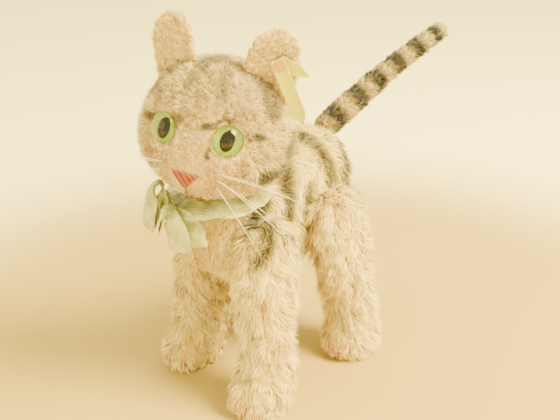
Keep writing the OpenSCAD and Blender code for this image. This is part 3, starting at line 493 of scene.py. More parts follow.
TAIL_RINGS = [(0.06, 0.05), (0.24, 0.055), (0.40, 0.055), (0.57, 0.055), (0.74, 0.055), (0.9, 0.04)]


def tail_marks(points):
    """Dark rings round the tail, at shares of its length."""
    share = (points - TAIL_PIVOT) @ TAIL_WAY / TAIL_LENGTH
    dark = np.zeros(len(points))
    for at, half in TAIL_RINGS:
        dark = np.maximum(dark, np.clip(1.5 - abs(share - at) / half * 1.1, 0, 1))
    return dark


# ---------------------------------------------------------------- pile

def cell_centres(points, size, seed):
    """The nearest jittered cell centre to each point and a number for its cell."""
    base = np.floor(points / size).astype(np.int64)
    best = np.full(len(points), 1e9)
    centre, number = np.zeros_like(points), np.zeros(len(points), np.int64)
    for step in np.ndindex(3, 3, 3):
        cell = base + np.array(step) - 1
        mixed_cell = cell[:, 0] * 73856093 ^ cell[:, 1] * 19349663 ^ cell[:, 2] * 83492791
        key = (mixed_cell ^ seed * 2654435761) & 0x7FFFFFFF
        jitter = np.stack([(key * m % 1009) / 1009 for m in (7, 131, 613)], 1)
        at = (cell + jitter) * size
        near = np.linalg.norm(points - at, axis=1)
        closer = near < best
        best[closer], centre[closer], number[closer] = near[closer], at[closer], key[closer]
    return centre, number


def grow_pile(name, skin, count, seed, comb, length, body, material, marks, lift=0.4, spread=0.35,
              clump=0.6, clump_size=3 * MM, wave=0.25, width=0.24 * MM, rows=3, keep=None, shade=None):
    """Hairs rooted all over a skin, as flat tapering ribbons that lean along comb and gather into locks."""
    points, triangles, normals = skin
    rng = np.random.default_rng(seed)
    a, b, c = (points[triangles[:, i]] for i in range(3))
    area = np.linalg.norm(np.cross(b - a, c - a), axis=1)
    pick = rng.choice(len(area), int(count * 1.6), p=area / area.sum())
    u, v = rng.random((2, len(pick), 1))
    u, v = np.where(u + v > 1, 1 - u, u), np.where(u + v > 1, 1 - v, v)
    root = a[pick] + u * (b[pick] - a[pick]) + v * (c[pick] - a[pick])
    na, nb, nc = (normals[triangles[pick, i]] for i in range(3))
    normal = unit(na + u * (nb - na) + v * (nc - na))
    stays = np.ones(len(root), bool) if keep is None else rng.random(len(root)) < keep(root, normal)
    root, normal = root[stays][:count], normal[stays][:count]
    n = len(root)

    centre, lock = cell_centres(root, clump_size, seed)
    lock_rng = np.stack([(lock * m % 997) / 997 for m in (11, 223, 571, 857)], 1)
    way = comb(root, normal)
    way = unit(way - (way * normal).sum(1)[:, None] * normal)
    side = np.cross(normal, way)
    swing = (lock_rng[:, 0] - 0.5) * 2 * spread * 1.6 + rng.normal(0, spread * 0.35, n)
    way = unit(way * np.cos(swing)[:, None] + side * np.sin(swing)[:, None])
    side = np.cross(normal, way)
    rise = np.clip(lift + (lock_rng[:, 1] - 0.5) * 0.35 + rng.normal(0, 0.08, n), 0.08, 1.2)[:, None]
    size = (length(root, normal) * (0.78 + 0.3 * lock_rng[:, 2]) * (0.8 + 0.4 * rng.random(n)))[:, None]
    outward = unit(normal * rise + way * (1 - 0.55 * rise))
    gather = (centre - root) - ((centre - root) * normal).sum(1)[:, None] * normal
    phase = lock_rng[:, 3] * 2 * math.pi + rng.normal(0, 0.5, n)
    turn = rng.normal(0, 0.7, n)[:, None]

    line = []
    for k in range(rows + 1):
        t = k / rows
        bend = size * t * t * 0.42
        curl = (size[:, 0] * wave * 0.5 * t * np.sin(phase + 4.2 * t))[:, None]
        droop = size * 0.12 * t * t * -UP
        leaning = outward * size * t * 0.8 + way * bend * (1 - 0.5 * rise)
        wavy = side * curl + normal * curl * 0.4 + droop - normal * 0.25 * MM
        line.append(root + leaning + gather * clump * t ** 1.3 + wavy)
        line[-1][:, 2] = np.maximum(line[-1][:, 2], 0.15 * MM)
    co = np.empty((n, 2 * rows + 1, 3))
    lit = np.empty_like(co)
    for k in range(rows + 1):
        tangent = unit(line[min(k + 1, rows)] - line[max(k - 1, 0)])
        across = unit(np.cross(tangent, normal))
        across = unit(across * np.cos(turn) + np.cross(tangent, across) * np.sin(turn))
        half = width / 2 * (1, 1.1, 0.8, 0.5)[min(3, int(3.01 * k / rows))]
        soft = unit(normal - 0.75 * (normal * tangent).sum(1)[:, None] * tangent - gather / clump_size * 0.9)
        if k < rows:
            co[:, 2 * k], co[:, 2 * k + 1] = line[k] - across * half, line[k] + across * half
            lit[:, 2 * k], lit[:, 2 * k + 1] = unit(soft - across * 0.35), unit(soft + across * 0.35)
        else:
            co[:, 2 * rows], lit[:, 2 * rows] = line[k], soft

    # the airbrush darkened the outermost hair, so each row takes the mark of the skin that it lies over
    over = [at - ((at - root) * normal).sum(1)[:, None] * normal for at in line]
    dark = np.stack([marks(at) if marks else np.zeros(n) for at in over], 1)
    dark = np.clip(dark * (0.9 + 0.3 * rng.random((n, 1))) + rng.normal(0, 0.03, (n, 1)), 0, 1)
    tone = np.clip(0.3 + 0.5 * lock_rng[:, 2] + rng.normal(0, 0.18, n) + (shade(root) if shade else 0), 0, 1)
    order = np.lexsort((tone, np.round(dark[:, -1], 1)))
    co, lit, dark, tone = co[order], lit[order], dark[order], tone[order]

    per = 2 * rows + 1
    mesh = bpy.data.meshes.new(name)
    quads = [(2 * k, 2 * k + 1, 2 * k + 3, 2 * k + 2) for k in range(rows - 1)]
    corner = np.array([i for q in quads for i in q] + [2 * rows - 2, 2 * rows - 1, 2 * rows])
    starts = np.array([4 * k for k in range(rows)])
    loops = (np.arange(n)[:, None] * per + corner).ravel()
    mesh.vertices.add(n * per)
    mesh.loops.add(len(loops))
    mesh.polygons.add(n * rows)
    mesh.vertices.foreach_set("co", co.astype(np.float32).ravel())
    mesh.loops.foreach_set("vertex_index", loops.astype(np.int32))
    mesh.polygons.foreach_set(
        "loop_start", (np.arange(n)[:, None] * len(corner) + starts).ravel().astype(np.int32)
    )
    mesh.polygons.foreach_set("use_smooth", [True] * (n * rows))
    mesh.update(calc_edges=True)
    row_of = np.array([k // 2 for k in range(per - 1)] + [rows])
    steps = row_of / rows
    point_values(mesh, "along", np.tile(steps, n))
    point_values(mesh, "mark", dark[:, row_of].ravel())
    point_values(mesh, "tone", np.repeat(tone, per))
    mesh.attributes.new("custom_normal", "FLOAT_VECTOR", "POINT").data.foreach_set(
        "vector", lit.astype(np.float32).ravel()
    )
    cells = math.ceil(math.sqrt(n))
    left = np.array([0.1 if k % 2 == 0 else 0.9 for k in range(per - 1)] + [0.5])
    index = np.arange(n)
    u = ((index % cells)[:, None] + left) / cells
    v = ((index // cells)[:, None] + 0.06 + 0.88 * steps) / cells
    laid = np.stack([u[:, corner], v[:, corner]], 2)
    mesh.uv_layers.new(name="OFBake").data.foreach_set("uv", laid.astype(np.float32).ravel())
    return new_object(name, mesh, material, body)


# ---------------------------------------------------------------- skins

SKINS = {}


def make_skin(name, nodes, replaced, start, end, rows, sides, cap_rows, material, body, marks,
              shape=None):
    """A stuffed skin over CAD nodes, kept with its surface for the pile."""
    points, faces = wrap(nodes, start, end, rows, sides, cap_rows)
    points = relaxed(points, faces, 3, 0.5)
    if shape:
        points = shape(points)
    mesh = mesh_of(name, points, faces)
    point_values(mesh, "mark", marks(points))
    made = new_object(name, mesh, material, body)
    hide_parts(*replaced)
    SKINS[name] = surface_of(made)


def eye_sockets(points):
    """Draws the face's skin in round each glass eye."""
    for middle, way in EYES.values():
        off = points - middle
        depth = off @ way
        ring = np.linalg.norm(off - depth[:, None] * way, axis=1)
        sink = np.clip((EYE_R * 1.25 - ring) / (EYE_R * 0.35), 0, 1) * (depth > -6 * MM)
        points = points - (sink * np.maximum(depth + 1.8 * MM, 0))[:, None] * way
    return points


def head_shape(points):
    """Fuller cheeks and a soft dip at the bridge of the nose, then the sockets."""
    way = unit(points - HEAD)
    for aside, rise, width, height in ((46, -24, 26, 1.5), (-46, -24, 26, 1.5), (0, 8, 15, -0.8)):
        near = np.degrees(np.arccos(np.clip(way @ head_way(aside, rise), -1, 1))) / width
        points = points + way * (np.exp(-near ** 2) * height * MM)[:, None]
    return eye_sockets(points)


def body_marks(points):
    """Dark stripes over the back, the shoulders and the rump."""
    pin = np.array([MID_X, JOINTS["left_front_shoulder"]["pos_m"][1], PIN_Z])
    return mark_on(points - pin, [([np.array(at) * MM for at in line], half, strength)
                                  for line, half, strength in BODY_STROKES])


def head_marks(points):
    """Dark streaks over the head, measured on a ball round its middle, with uneven grey over the forehead."""
    way = unit(points - HEAD)
    dark = mark_on(way * HEAD_BALL, [([head_way(*at) * HEAD_BALL for at in line], half, strength)
                                     for line, half, strength in HEAD_STROKES])
    grey = np.clip(mottled(points, 9 * MM, 3), 0, 1) * np.clip(way @ HEAD_UP * 2.2 + 0.25, 0.15, 1)
    return np.maximum(dark, 0.34 * grey)


torso_low, torso_high = (np.array(corner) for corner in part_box("torso_skin"))
make_skin(
    "torso_cloth", ["torso_skin"], ["torso_skin"],
    np.array([MID_X, torso_low[1] + 12 * MM, PIN_Z + 4 * MM]),
    np.array([MID_X, torso_high[1] - 14 * MM, PIN_Z + 9 * MM]),
    26, 48, 8, BODY_CLOTH, "torso", body_marks,
)
LEG_LINES = {}
for leg in LEGS:
    joint = JOINTS[leg + ("_shoulder" if "front" in leg else "_hip")]
    points = corners(leg + "_leg_skin")
    top = points[abs(points[:, 2] - PIN_Z) < 6 * MM]
    pin = np.array([(top[:, 0].min() + top[:, 0].max()) / 2, joint["pos_m"][1], PIN_Z])
    sole = SOLES[leg + "_sole"] + np.array([0, 0, 7 * MM])
    LEG_LINES[leg] = (sole, pin)
    make_skin(
        leg + "_leg_cloth", [leg + "_leg_skin"], [leg + "_leg_skin"], sole, pin, 20, 32, 7, BODY_CLOTH,
        leg + "_leg", body_marks,
    )
make_skin(
    "head_cloth", ["head_skin", "left_eye_glass", "right_eye_glass"], ["head_skin"],
    HEAD - HEAD_FORWARD * 0.5 * MM, HEAD + HEAD_FORWARD * 0.5 * MM, 1, 64, 26, FACE_CLOTH, "head",
    head_marks, head_shape,
)
tail_points = corners("tail_skin")
tail_end = tail_points[np.argmax(np.linalg.norm(tail_points - TAIL_PIVOT, axis=1))]
TAIL_LENGTH = float(np.linalg.norm(tail_end - TAIL_PIVOT))
TAIL_WAY = unit(tail_end - TAIL_PIVOT)
make_skin(
    "tail_cloth", ["tail_skin"], ["tail_skin"], TAIL_PIVOT, TAIL_PIVOT + TAIL_WAY * (TAIL_LENGTH - 4 * MM),
    40, 20, 5, TAIL_CLOTH, "tail", tail_marks,
)


def make_ear(side):
    """A cupped ear: the CAD's plate welded, rounded and kept in its place."""
    name = ("left" if side > 0 else "right") + "_ear"
    mesh = frame["nodes"][name].data.copy()
    mesh.name = name + "_cloth"
    made = bpy.data.objects.new(name + "_cloth", mesh)
    bpy.context.scene.collection.objects.link(made)
    made.modifiers.new("weld", "WELD").merge_threshold = 0.02 * MM
    remesh = made.modifiers.new("rounding", "REMESH")
    remesh.mode, remesh.voxel_size = "VOXEL", 0.7 * MM
    smoothing = made.modifiers.new("smoothing", "SMOOTH")
    smoothing.factor, smoothing.iterations = 0.5, 8
    shown = made.evaluated_get(bpy.context.evaluated_depsgraph_get())
    final = bpy.data.meshes.new_from_object(shown)
    made.modifiers.clear()
    made.data = final
    final.name = name + "_cloth"
    final.polygons.foreach_set("use_smooth", [True] * len(final.polygons))
    final.materials.clear()
    final.materials.append(FACE_CLOTH)
    for attribute in [a.name for a in final.attributes if a.name == "custom_normal"]:
        final.attributes.remove(final.attributes[attribute])
    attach(made, "head")
    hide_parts(name)
    SKINS[name + "_cloth"] = surface_of(made)


for side in (1, -1):
    make_ear(side)


# ---------------------------------------------------------------- pile on each skin

def down_the_leg(leg):
    sole, pin = LEG_LINES[leg]
    way = unit(sole - pin)
    return lambda points, normals: np.tile(way, (len(points), 1)) + 0.25 * normals


def body_comb(points, normals):
    """Back along the spine, down over the flanks and the chest."""
    share = np.clip((points[:, 1] - torso_low[1]) / (torso_high[1] - torso_low[1]), 0, 1)
    upper = np.clip(normals[:, 2], 0, 1)
    way = np.zeros_like(points)
    way[:, 1] = 0.25 + 0.9 * upper - 0.9 * (share < 0.12)
    way[:, 2] = -1.0 + 0.8 * upper
    return way


NOSE = HEAD + NOSE_WAY * 27 * MM


def face_comb(points, normals):
    """Away from the nose, and down a little over the cheeks."""
    return unit(points - NOSE) - 0.35 * UP


def tail_comb(points, normals):
    return np.tile(TAIL_WAY, (len(points), 1)) - 0.1 * UP


def ear_comb(side):
    way = HEAD_UP * 0.9 + HEAD_LEFT * side * 0.35
    return lambda points, normals: np.tile(way, (len(points), 1))


def leg_length(leg):
    pin = LEG_LINES[leg][1]
    inward = -np.sign(pin[0] - MID_X)

    def length(points, normals):
        share = np.clip(points[:, 2] / PIN_Z, 0, 1)
        full = np.interp(share, (0, 0.08, 0.25, 0.7, 1.0), (2.5, 4.2, 6.0, 7.0, 6.2))
        return full * MM * np.where(normals[:, 0] * inward > 0.6, 0.55, 1.0)

    return length


def leg_keep(leg):
    pin = LEG_LINES[leg][1]
    inward = -np.sign(pin[0] - MID_X)

    def keep(points, normals):
        bare = (normals[:, 0] * inward > 0.75) & (points[:, 2] > PIN_Z - 14 * MM)
        sole = (normals[:, 2] < -0.8) & (points[:, 2] < 2 * MM)
        return np.where(bare, 0.0, 1.0) * np.where(sole, 0.25, 1.0)

    return keep


def torso_length(points, normals):
    near_neck = np.linalg.norm(points - NECK, axis=1)
    full = np.interp(near_neck / MM, (8, 14, 24), (1.5, 3.0, 6.2))
    return full * MM * np.where(normals[:, 2] < -0.7, 0.7, 1.0)


def torso_keep(points, normals):
    covered = np.zeros(len(points), bool)
    for leg in LEGS:
        _, pin = LEG_LINES[leg]
        side = np.sign(pin[0] - MID_X)
        off = np.linalg.norm((points - pin)[:, 1:], axis=1)
        covered |= (off < 8.5 * MM) & (normals[:, 0] * side > 0.5)
    return np.where(covered, 0.0, 1.0)


def to_eye(points):
    """Distance of each point from the nearer eye's axis, as a share of the eye's radius."""
    near = np.full(len(points), 99.0)
    for middle, way in EYES.values():
        off = points - middle
        depth = off @ way
        ring = np.linalg.norm(off - depth[:, None] * way, axis=1) / EYE_R
        near = np.where(depth > -7 * MM, np.minimum(near, ring), near)
    return near


def face_angles(points):
    """Degrees from straight ahead towards the head's left, and degrees above its middle."""
    way = unit(points - HEAD)
    return (np.degrees(np.arctan2(way @ HEAD_LEFT, way @ HEAD_FORWARD)),
            np.degrees(np.arcsin(np.clip(way @ HEAD_UP, -1, 1))))


def face_length(points, normals):
    aside, rise = face_angles(points)
    from_nose = np.linalg.norm(points - NOSE, axis=1) / MM
    full = np.interp(from_nose, (0, 6, 14, 24, 34), (0.8, 1.3, 2.0, 2.7, 3.4))
    cheek = np.exp(-((abs(aside) - 66) / 24) ** 2 - ((rise + 14) / 26) ** 2)
    rubbed = np.exp(-((abs(aside) - 31) / 11) ** 2 - ((rise + 14) / 9) ** 2)
    full = (full + 2.6 * cheek) * (1 - 0.6 * rubbed)
    full = full * np.interp(to_eye(points), (1.0, 1.25, 1.7), (0.35, 0.6, 1.0))
    under = rise < -58
    return full * MM * np.where(under, 0.6, 1.0)


def face_keep(points, normals):
    aside, rise = face_angles(points)
    nose = (abs(aside) < 9) & (abs(rise + NOSE_DROP) < 6)
    bare = (to_eye(points) < 1.04) | nose | (rise < -72)
    return np.where(bare, 0.0, 1.0)


def face_shade(points):
    """Patches of cleaner and of browner pile, brown and rubbed thin below each eye."""
    aside, rise = face_angles(points)
    rubbed = np.exp(-((abs(aside) - 31) / 11) ** 2 - ((rise + 14) / 9) ** 2)
    return 0.3 * mottled(points, 6 * MM, 8) - 0.9 * rubbed


def even(millimetres):
    return lambda points, normals: np.full(len(points), millimetres * MM)


def tail_length_at(points, normals):
    share = (points - TAIL_PIVOT) @ TAIL_WAY / TAIL_LENGTH
    return np.interp(share, (0, 0.1, 0.8, 1.0), (2.6, 3.4, 3.2, 2.2)) * MM


def grow_all_pile():
    """Pile of every skin, in pieces small enough to export whole."""
    for half in ("a", "b"):
        grow_pile("torso_pile_" + half, SKINS["torso_cloth"], 21000, 11 + ord(half), body_comb, torso_length,
                  "torso", BODY_HAIR, body_marks, lift=0.5, spread=0.5,
                  clump=0.5, clump_size=2.6 * MM, wave=0.45, keep=torso_keep)
    for number, leg in enumerate(LEGS):
        grow_pile(leg + "_leg_pile", SKINS[leg + "_leg_cloth"], 22000, 31 + number, down_the_leg(leg),
                  leg_length(leg), leg + "_leg", BODY_HAIR, body_marks, lift=0.55, spread=0.6,
                  clump=0.5, clump_size=2.6 * MM, wave=0.5, keep=leg_keep(leg))
    for half in ("a", "b"):
        grow_pile("face_pile_" + half, SKINS["head_cloth"], 33000, 51 + ord(half), face_comb, face_length,
                  "head", FACE_HAIR, head_marks, lift=0.6, spread=0.7, clump=0.35,
                  clump_size=1.6 * MM, wave=0.4, width=0.18 * MM, keep=face_keep, shade=face_shade)
    grow_pile("tail_pile", SKINS["tail_cloth"], 20000, 71, tail_comb, tail_length_at, "tail",
              TAIL_HAIR, tail_marks, lift=0.6, spread=0.35, clump=0.4, clump_size=1.8 * MM,
              wave=0.2, width=0.2 * MM)
    for side, name in ((1, "left_ear"), (-1, "right_ear")):
        grow_pile(name + "_pile", SKINS[name + "_cloth"], 11000, 81 + side, ear_comb(side), even(2.2), "head",
                  EAR_HAIR_PAINTED_BACKLIT, None, lift=0.5, spread=0.4, clump=0.4, clump_size=1.6 * MM,
                  wave=0.2, width=0.18 * MM)


# ---------------------------------------------------------------- eyes

def axes_about(way):
    """Two directions across way, the second as near upright as it can be."""
    rise = unit(HEAD_UP - (HEAD_UP @ way) * way)
    return np.cross(rise, way), rise


def turned(middle, way, profile, sides):
    """A closed surface of revolution: profile rows are [radius, height along way], from pole to pole."""
    across, rise = axes_about(way)
    points, faces = [middle + way * profile[0][1]], []
    for radius, height in profile[1:-1]:
        for j in range(sides):
            turn = 2 * math.pi * j / sides
            points.append(middle + way * height + radius * (across * math.cos(turn) + rise * math.sin(turn)))
    points.append(middle + way * profile[-1][1])
    last = len(points) - 1
    faces += [(0, 1 + (j + 1) % sides, 1 + j) for j in range(sides)]
    for i in range(len(profile) - 3):
        for j in range(sides):
            a, b = 1 + i * sides + j, 1 + i * sides + (j + 1) % sides
            faces.append((a, b, b + sides, a + sides))
    faces += [(last - sides + j, last - sides + (j + 1) % sides, last) for j in range(sides)]
    return points, faces


def make_eye(side):
    """A glass dome blown over an enamelled iris and a black oval pupil."""
    middle, way = EYES[side]
    name = "left_eye" if side > 0 else "right_eye"
    ball = (EYE_R ** 2 + EYE_DOME ** 2) / (2 * EYE_DOME)
    spread = math.asin(EYE_R / ball)
    back = -1.9 * MM
    profile = [[0, back], [EYE_R * 0.6, back], [EYE_R * 0.9, back * 0.85], [EYE_R, -0.7 * MM]]
    arc = [spread * (1 - k / 14) for k in range(14)]
    profile += [[ball * math.sin(at), EYE_DOME - ball + ball * math.cos(at)] for at in arc]
    profile += [[0, EYE_DOME]]
    points, faces = turned(middle, way, profile, 64)
    dome = new_object(name + "_dome", mesh_of(name + "_dome", points, faces), EYE_GLASS, "head")
    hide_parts(name + "_glass")

    across, rise = axes_about(way)
    rng = np.random.default_rng(5 + side)
    rays = rng.random(96)
    points, faces, radius, ray = [], [], [], []
    rings, sides = 10, 96
    for i in range(rings + 1):
        share = max(i / rings, 0.02)
        for j in range(sides):
            turn = 2 * math.pi * j / sides
            points.append(middle + way * (-1.35 * MM - 0.25 * MM * (1 - share ** 2)) + EYE_R * 0.97 * share
                          * (across * math.cos(turn) + rise * math.sin(turn)))
            radius.append(share)
            ray.append(rays[j])
    for i in range(rings):
        for j in range(sides):
            a, b = i * sides + j, i * sides + (j + 1) % sides
            faces.append((a, b, b + sides, a + sides))
    faces.append(tuple(range(sides - 1, -1, -1)))
    mesh = mesh_of(name + "_iris", points, faces)
    point_values(mesh, "radius", radius)
    point_values(mesh, "ray", ray)
    iris = new_object(name + "_iris", mesh, IRIS_ENAMEL, "head")
    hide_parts("eye_backings")

    lean = math.radians(-14)
    wide = across * math.cos(lean) + rise * math.sin(lean)
    tall = rise * math.cos(lean) - across * math.sin(lean)
    points, faces = [middle - way * 0.75 * MM], []
    for i, (share, height) in enumerate(((0.45, -0.8), (0.8, -0.95), (1.0, -1.2), (1.0, -1.6))):
        for j in range(sides):
            turn = 2 * math.pi * j / sides
            points.append(middle + way * height * MM
                          + share * EYE_R * (0.36 * wide * math.cos(turn) + 0.57 * tall * math.sin(turn)))
            if i:
                a, b = 1 + (i - 1) * sides + j, 1 + (i - 1) * sides + (j + 1) % sides
                faces.append((a, a + sides, b + sides, b))
    faces += [(0, 1 + j, 1 + (j + 1) % sides) for j in range(sides)]
    faces.append(tuple(1 + 3 * sides + j for j in range(sides - 1, -1, -1)))
    mesh = mesh_of(name + "_pupil", points, faces)
    pupil = new_object(name + "_pupil", mesh, PUPIL_GLASS, "head")
    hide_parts("eye_pupils")


# ---------------------------------------------------------------- floss, bristles

FACE_TREE = BVHTree.FromPolygons([tuple(p) for p in SKINS["head_cloth"][0]], SKINS["head_cloth"][1].tolist())


def on_face(aside, rise, proud):
    """Place on the face in a direction from the head's middle, proud of the cloth."""
    way = head_way(aside, rise)
    hit = FACE_TREE.ray_cast(Vector(HEAD + way * 60 * MM), Vector(-way), 0.1)[0]
    return np.array(hit) + way * proud


def threads(paths, radii, sides=8):
    """Round threads along paths, each tapering through its own radii, as one mesh's points and faces."""
    points, faces = [], []
    for path, radius in zip(paths, radii):
        path = np.array(path)
        start, count = len(points), len(path)
        for i in range(count):
            run = unit(path[min(i + 1, count - 1)] - path[max(i - 1, 0)])
            first = unit(np.cross(run, [0.2, 0.3, 0.93]))
            second = np.cross(run, first)
            for j in range(sides):
                turn = 2 * math.pi * j / sides
                points.append(path[i] + radius[i] * (first * math.cos(turn) + second * math.sin(turn)))
        for i in range(count - 1):
            for j in range(sides):
                a, b = start + i * sides + j, start + i * sides + (j + 1) % sides
                faces.append((a, a + sides, b + sides, b))
        faces.append(tuple(start + j for j in range(sides)))
        faces.append(tuple(start + (count - 1) * sides + j for j in range(sides - 1, -1, -1)))
    return points, faces


def make_nose():
    """Satin stitches side by side: wide at the top, narrow below, bulging a little in the middle."""
    paths, radii = [], []
    count = 15
    for k in range(count):
        at = 2 * k / (count - 1) - 1
        top = -NOSE_DROP + 6.2 - 1.2 * abs(at) ** 2
        low = -NOSE_DROP - 7.0 + 8.5 * abs(at) ** 1.1
        path = []
        for i in range(9):
            t = i / 8
            fall = top + (low - top) * t
            aside = at * (9.6 - 4.6 * t)
            bulge = 0.55 + 0.75 * math.sin(math.pi * min(max(t, 0.06), 0.94)) * (1 - 0.4 * at * at)
            path.append(on_face(aside, fall, bulge * MM))
        paths.append(path)
        radii.append([0.36 * MM * (0.75 if i in (0, 8) else 1) for i in range(9)])
    points, faces = threads(paths, radii)
    nose = new_object("nose_floss", mesh_of("nose_floss", points, faces), NOSE_FLOSS, "head")
    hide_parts("nose_stitching")


def make_mouth():
    """One stitch down from the nose and one to each side."""
    top = -NOSE_DROP - 7.5
    fork = top - 8
    ends = [((0, top), (0, fork + 1))] + [((side * 1.2, fork), (side * 10, fork - 3.5)) for side in (1, -1)]
    paths = []
    for (a0, r0), (a1, r1) in ends:
        paths.append([
            on_face(a0 + (a1 - a0) * t, r0 + (r1 - r0) * t, (1.0 + 0.5 * math.sin(math.pi * t)) * MM)
            for t in np.linspace(0, 1, 9)
        ])
    points, faces = threads(paths, [[0.32 * MM] * 9] * len(paths))
    mesh = mesh_of("mouth_thread", points, faces)
    mouth = new_object("mouth_thread", mesh, MOUTH_THREAD, "head")
    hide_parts("mouth_stitching")


# Bristles: root's angle aside and rise, then shares of left, forward and up in their way, and their length
BRISTLES = (
    (20, -17, 1.0, 0.28, 0.16, 27), (25, -19, 1.0, 0.1, 0.02, 31), (20, -21, 0.95, 0.2, -0.22, 30),
    (25, -24, 0.9, 0.05, -0.42, 28), (21, -27, 0.8, 0.3, -0.62, 24)
)


def make_bristles(side):
    """Pale bristles fanned out of the muzzle, each bowed under its own weight."""
    name = "left_whiskers" if side > 0 else "right_whiskers"
    paths, radii = [], []
    for aside, rise, left, ahead, up, length in BRISTLES:
        root = on_face(side * aside, rise, -0.5 * MM)
        out = unit(HEAD_LEFT * side * left + HEAD_FORWARD * ahead + HEAD_UP * up)
        steps = np.linspace(0, 1, 13)
        paths.append([root + out * length * MM * t - UP * 4.5 * MM * t * t - HEAD_FORWARD * 3 * MM * t * t
                      for t in steps])
        radii.append([(0.1 - 0.06 * t) * MM for t in steps])
    points, faces = threads(paths, radii, 6)
    mesh = mesh_of(name + "_bristles", points, faces)
    made = new_object(name + "_bristles", mesh, BRISTLE, "head")
    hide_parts(name)


# ---------------------------------------------------------------- ribbon, label

def strip(name, middles, acrosses, widths, material, body, node, cols=10, cup=0.0, fray=None):
    """A ribbon laid along middles, as wide as widths across each, with a little cup over its width."""
    middles, acrosses = np.array(middles), unit(np.array(acrosses))
    rows = len(middles)
    points, faces = [], []
    for i in range(rows):
        run = unit(middles[min(i + 1, rows - 1)] - middles[max(i - 1, 0)])
        across = unit(acrosses[i] - (acrosses[i] @ run) * run)
        up = np.cross(across, run)
        for j in range(cols + 1):
            at = 2 * j / cols - 1
            end = fray[j] * MM if fray is not None and i == rows - 1 else 0
            points.append(middles[i] + across * widths[i] / 2 * at + up * cup * (at * at - 0.4) + run * end)
    for i in range(rows - 1):
        for j in range(cols):
            a = i * (cols + 1) + j
            faces.append((a, a + 1, a + cols + 2, a + cols + 1))
    made = new_object(name, mesh_of(name, points, faces), material, body)
    thick = made.modifiers.new("thickness", "SOLIDIFY")
    thick.thickness, thick.offset = 0.22 * MM, 0
    smooth = made.modifiers.new("rounding", "SUBSURF")
    smooth.levels = smooth.render_levels = 1
    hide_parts(node)
    return made


RIBBON_W = 10 * MM


def make_collar():
    """The ribbon round the neck, lying on the shoulders' pile, a little puckered."""
    low, high = (np.array(c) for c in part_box("collar_ribbon"))
    middle = (low + high) / 2
    outer = (high[0] - low[0]) / 2
    tilt = math.radians(5)
    count = 72
    middles, acrosses = [], []
    for k in range(count + 1):
        a = 2 * math.pi * k / count
        out = np.array([math.sin(a), -math.cos(a), 0])
        pucker = 0.35 * math.sin(9 * a + 0.6) + 0.25 * math.sin(17 * a)
        slope = math.radians(24 + 5 * math.sin(5 * a + 1))
        at = out * (outer - RIBBON_W * 0.48) + UP * (math.sin(tilt) * -math.cos(a) * outer + pucker * MM)
        middles.append(middle + at + UP * 0.8 * MM)
        acrosses.append(out * math.cos(slope) - UP * math.sin(slope))
    made = strip("collar_satin", middles, acrosses, [RIBBON_W * 0.94] * (count + 1), RIBBON_SATIN, "torso",
                 "collar_ribbon", cols=8, cup=0.35 * MM)


def smooth_path(points, count):
    """A smooth curve through points."""
    points = np.array(points, float)
    padded = np.concatenate([[2 * points[0] - points[1]], points, [2 * points[-1] - points[-2]]])
    out = []
    for t in np.linspace(0, len(points) - 1, count):
        i = min(int(t), len(points) - 2)
        s = t - i
        p = padded[i:i + 4]
        out.append(0.5 * (2 * p[1] + (p[2] - p[0]) * s + (2 * p[0] - 5 * p[1] + 4 * p[2] - p[3]) * s * s
                          + (3 * p[1] - p[0] - 3 * p[2] + p[3]) * s ** 3))
    return np.array(out)


KNOT = sum((np.array(c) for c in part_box("bow_knot"))) / 2


def bow_piece(name, node, path, across, width, count, cup, seed):
    """A loop or an end of the bow, through points given in millimetres from the knot."""
    middles = smooth_path(np.array(path) * MM + KNOT, count)
    acrosses = smooth_path(np.array(across, float), count)
    widths = smooth_path(np.array([[w, 0, 0] for w in width]), count)[:, 0] * RIBBON_W
    rng = np.random.default_rng(seed)
    made = strip(name, middles, acrosses, widths, RIBBON_SATIN, "torso", node, cup=cup * MM,
                 fray=rng.normal(0, 0.35, 11))


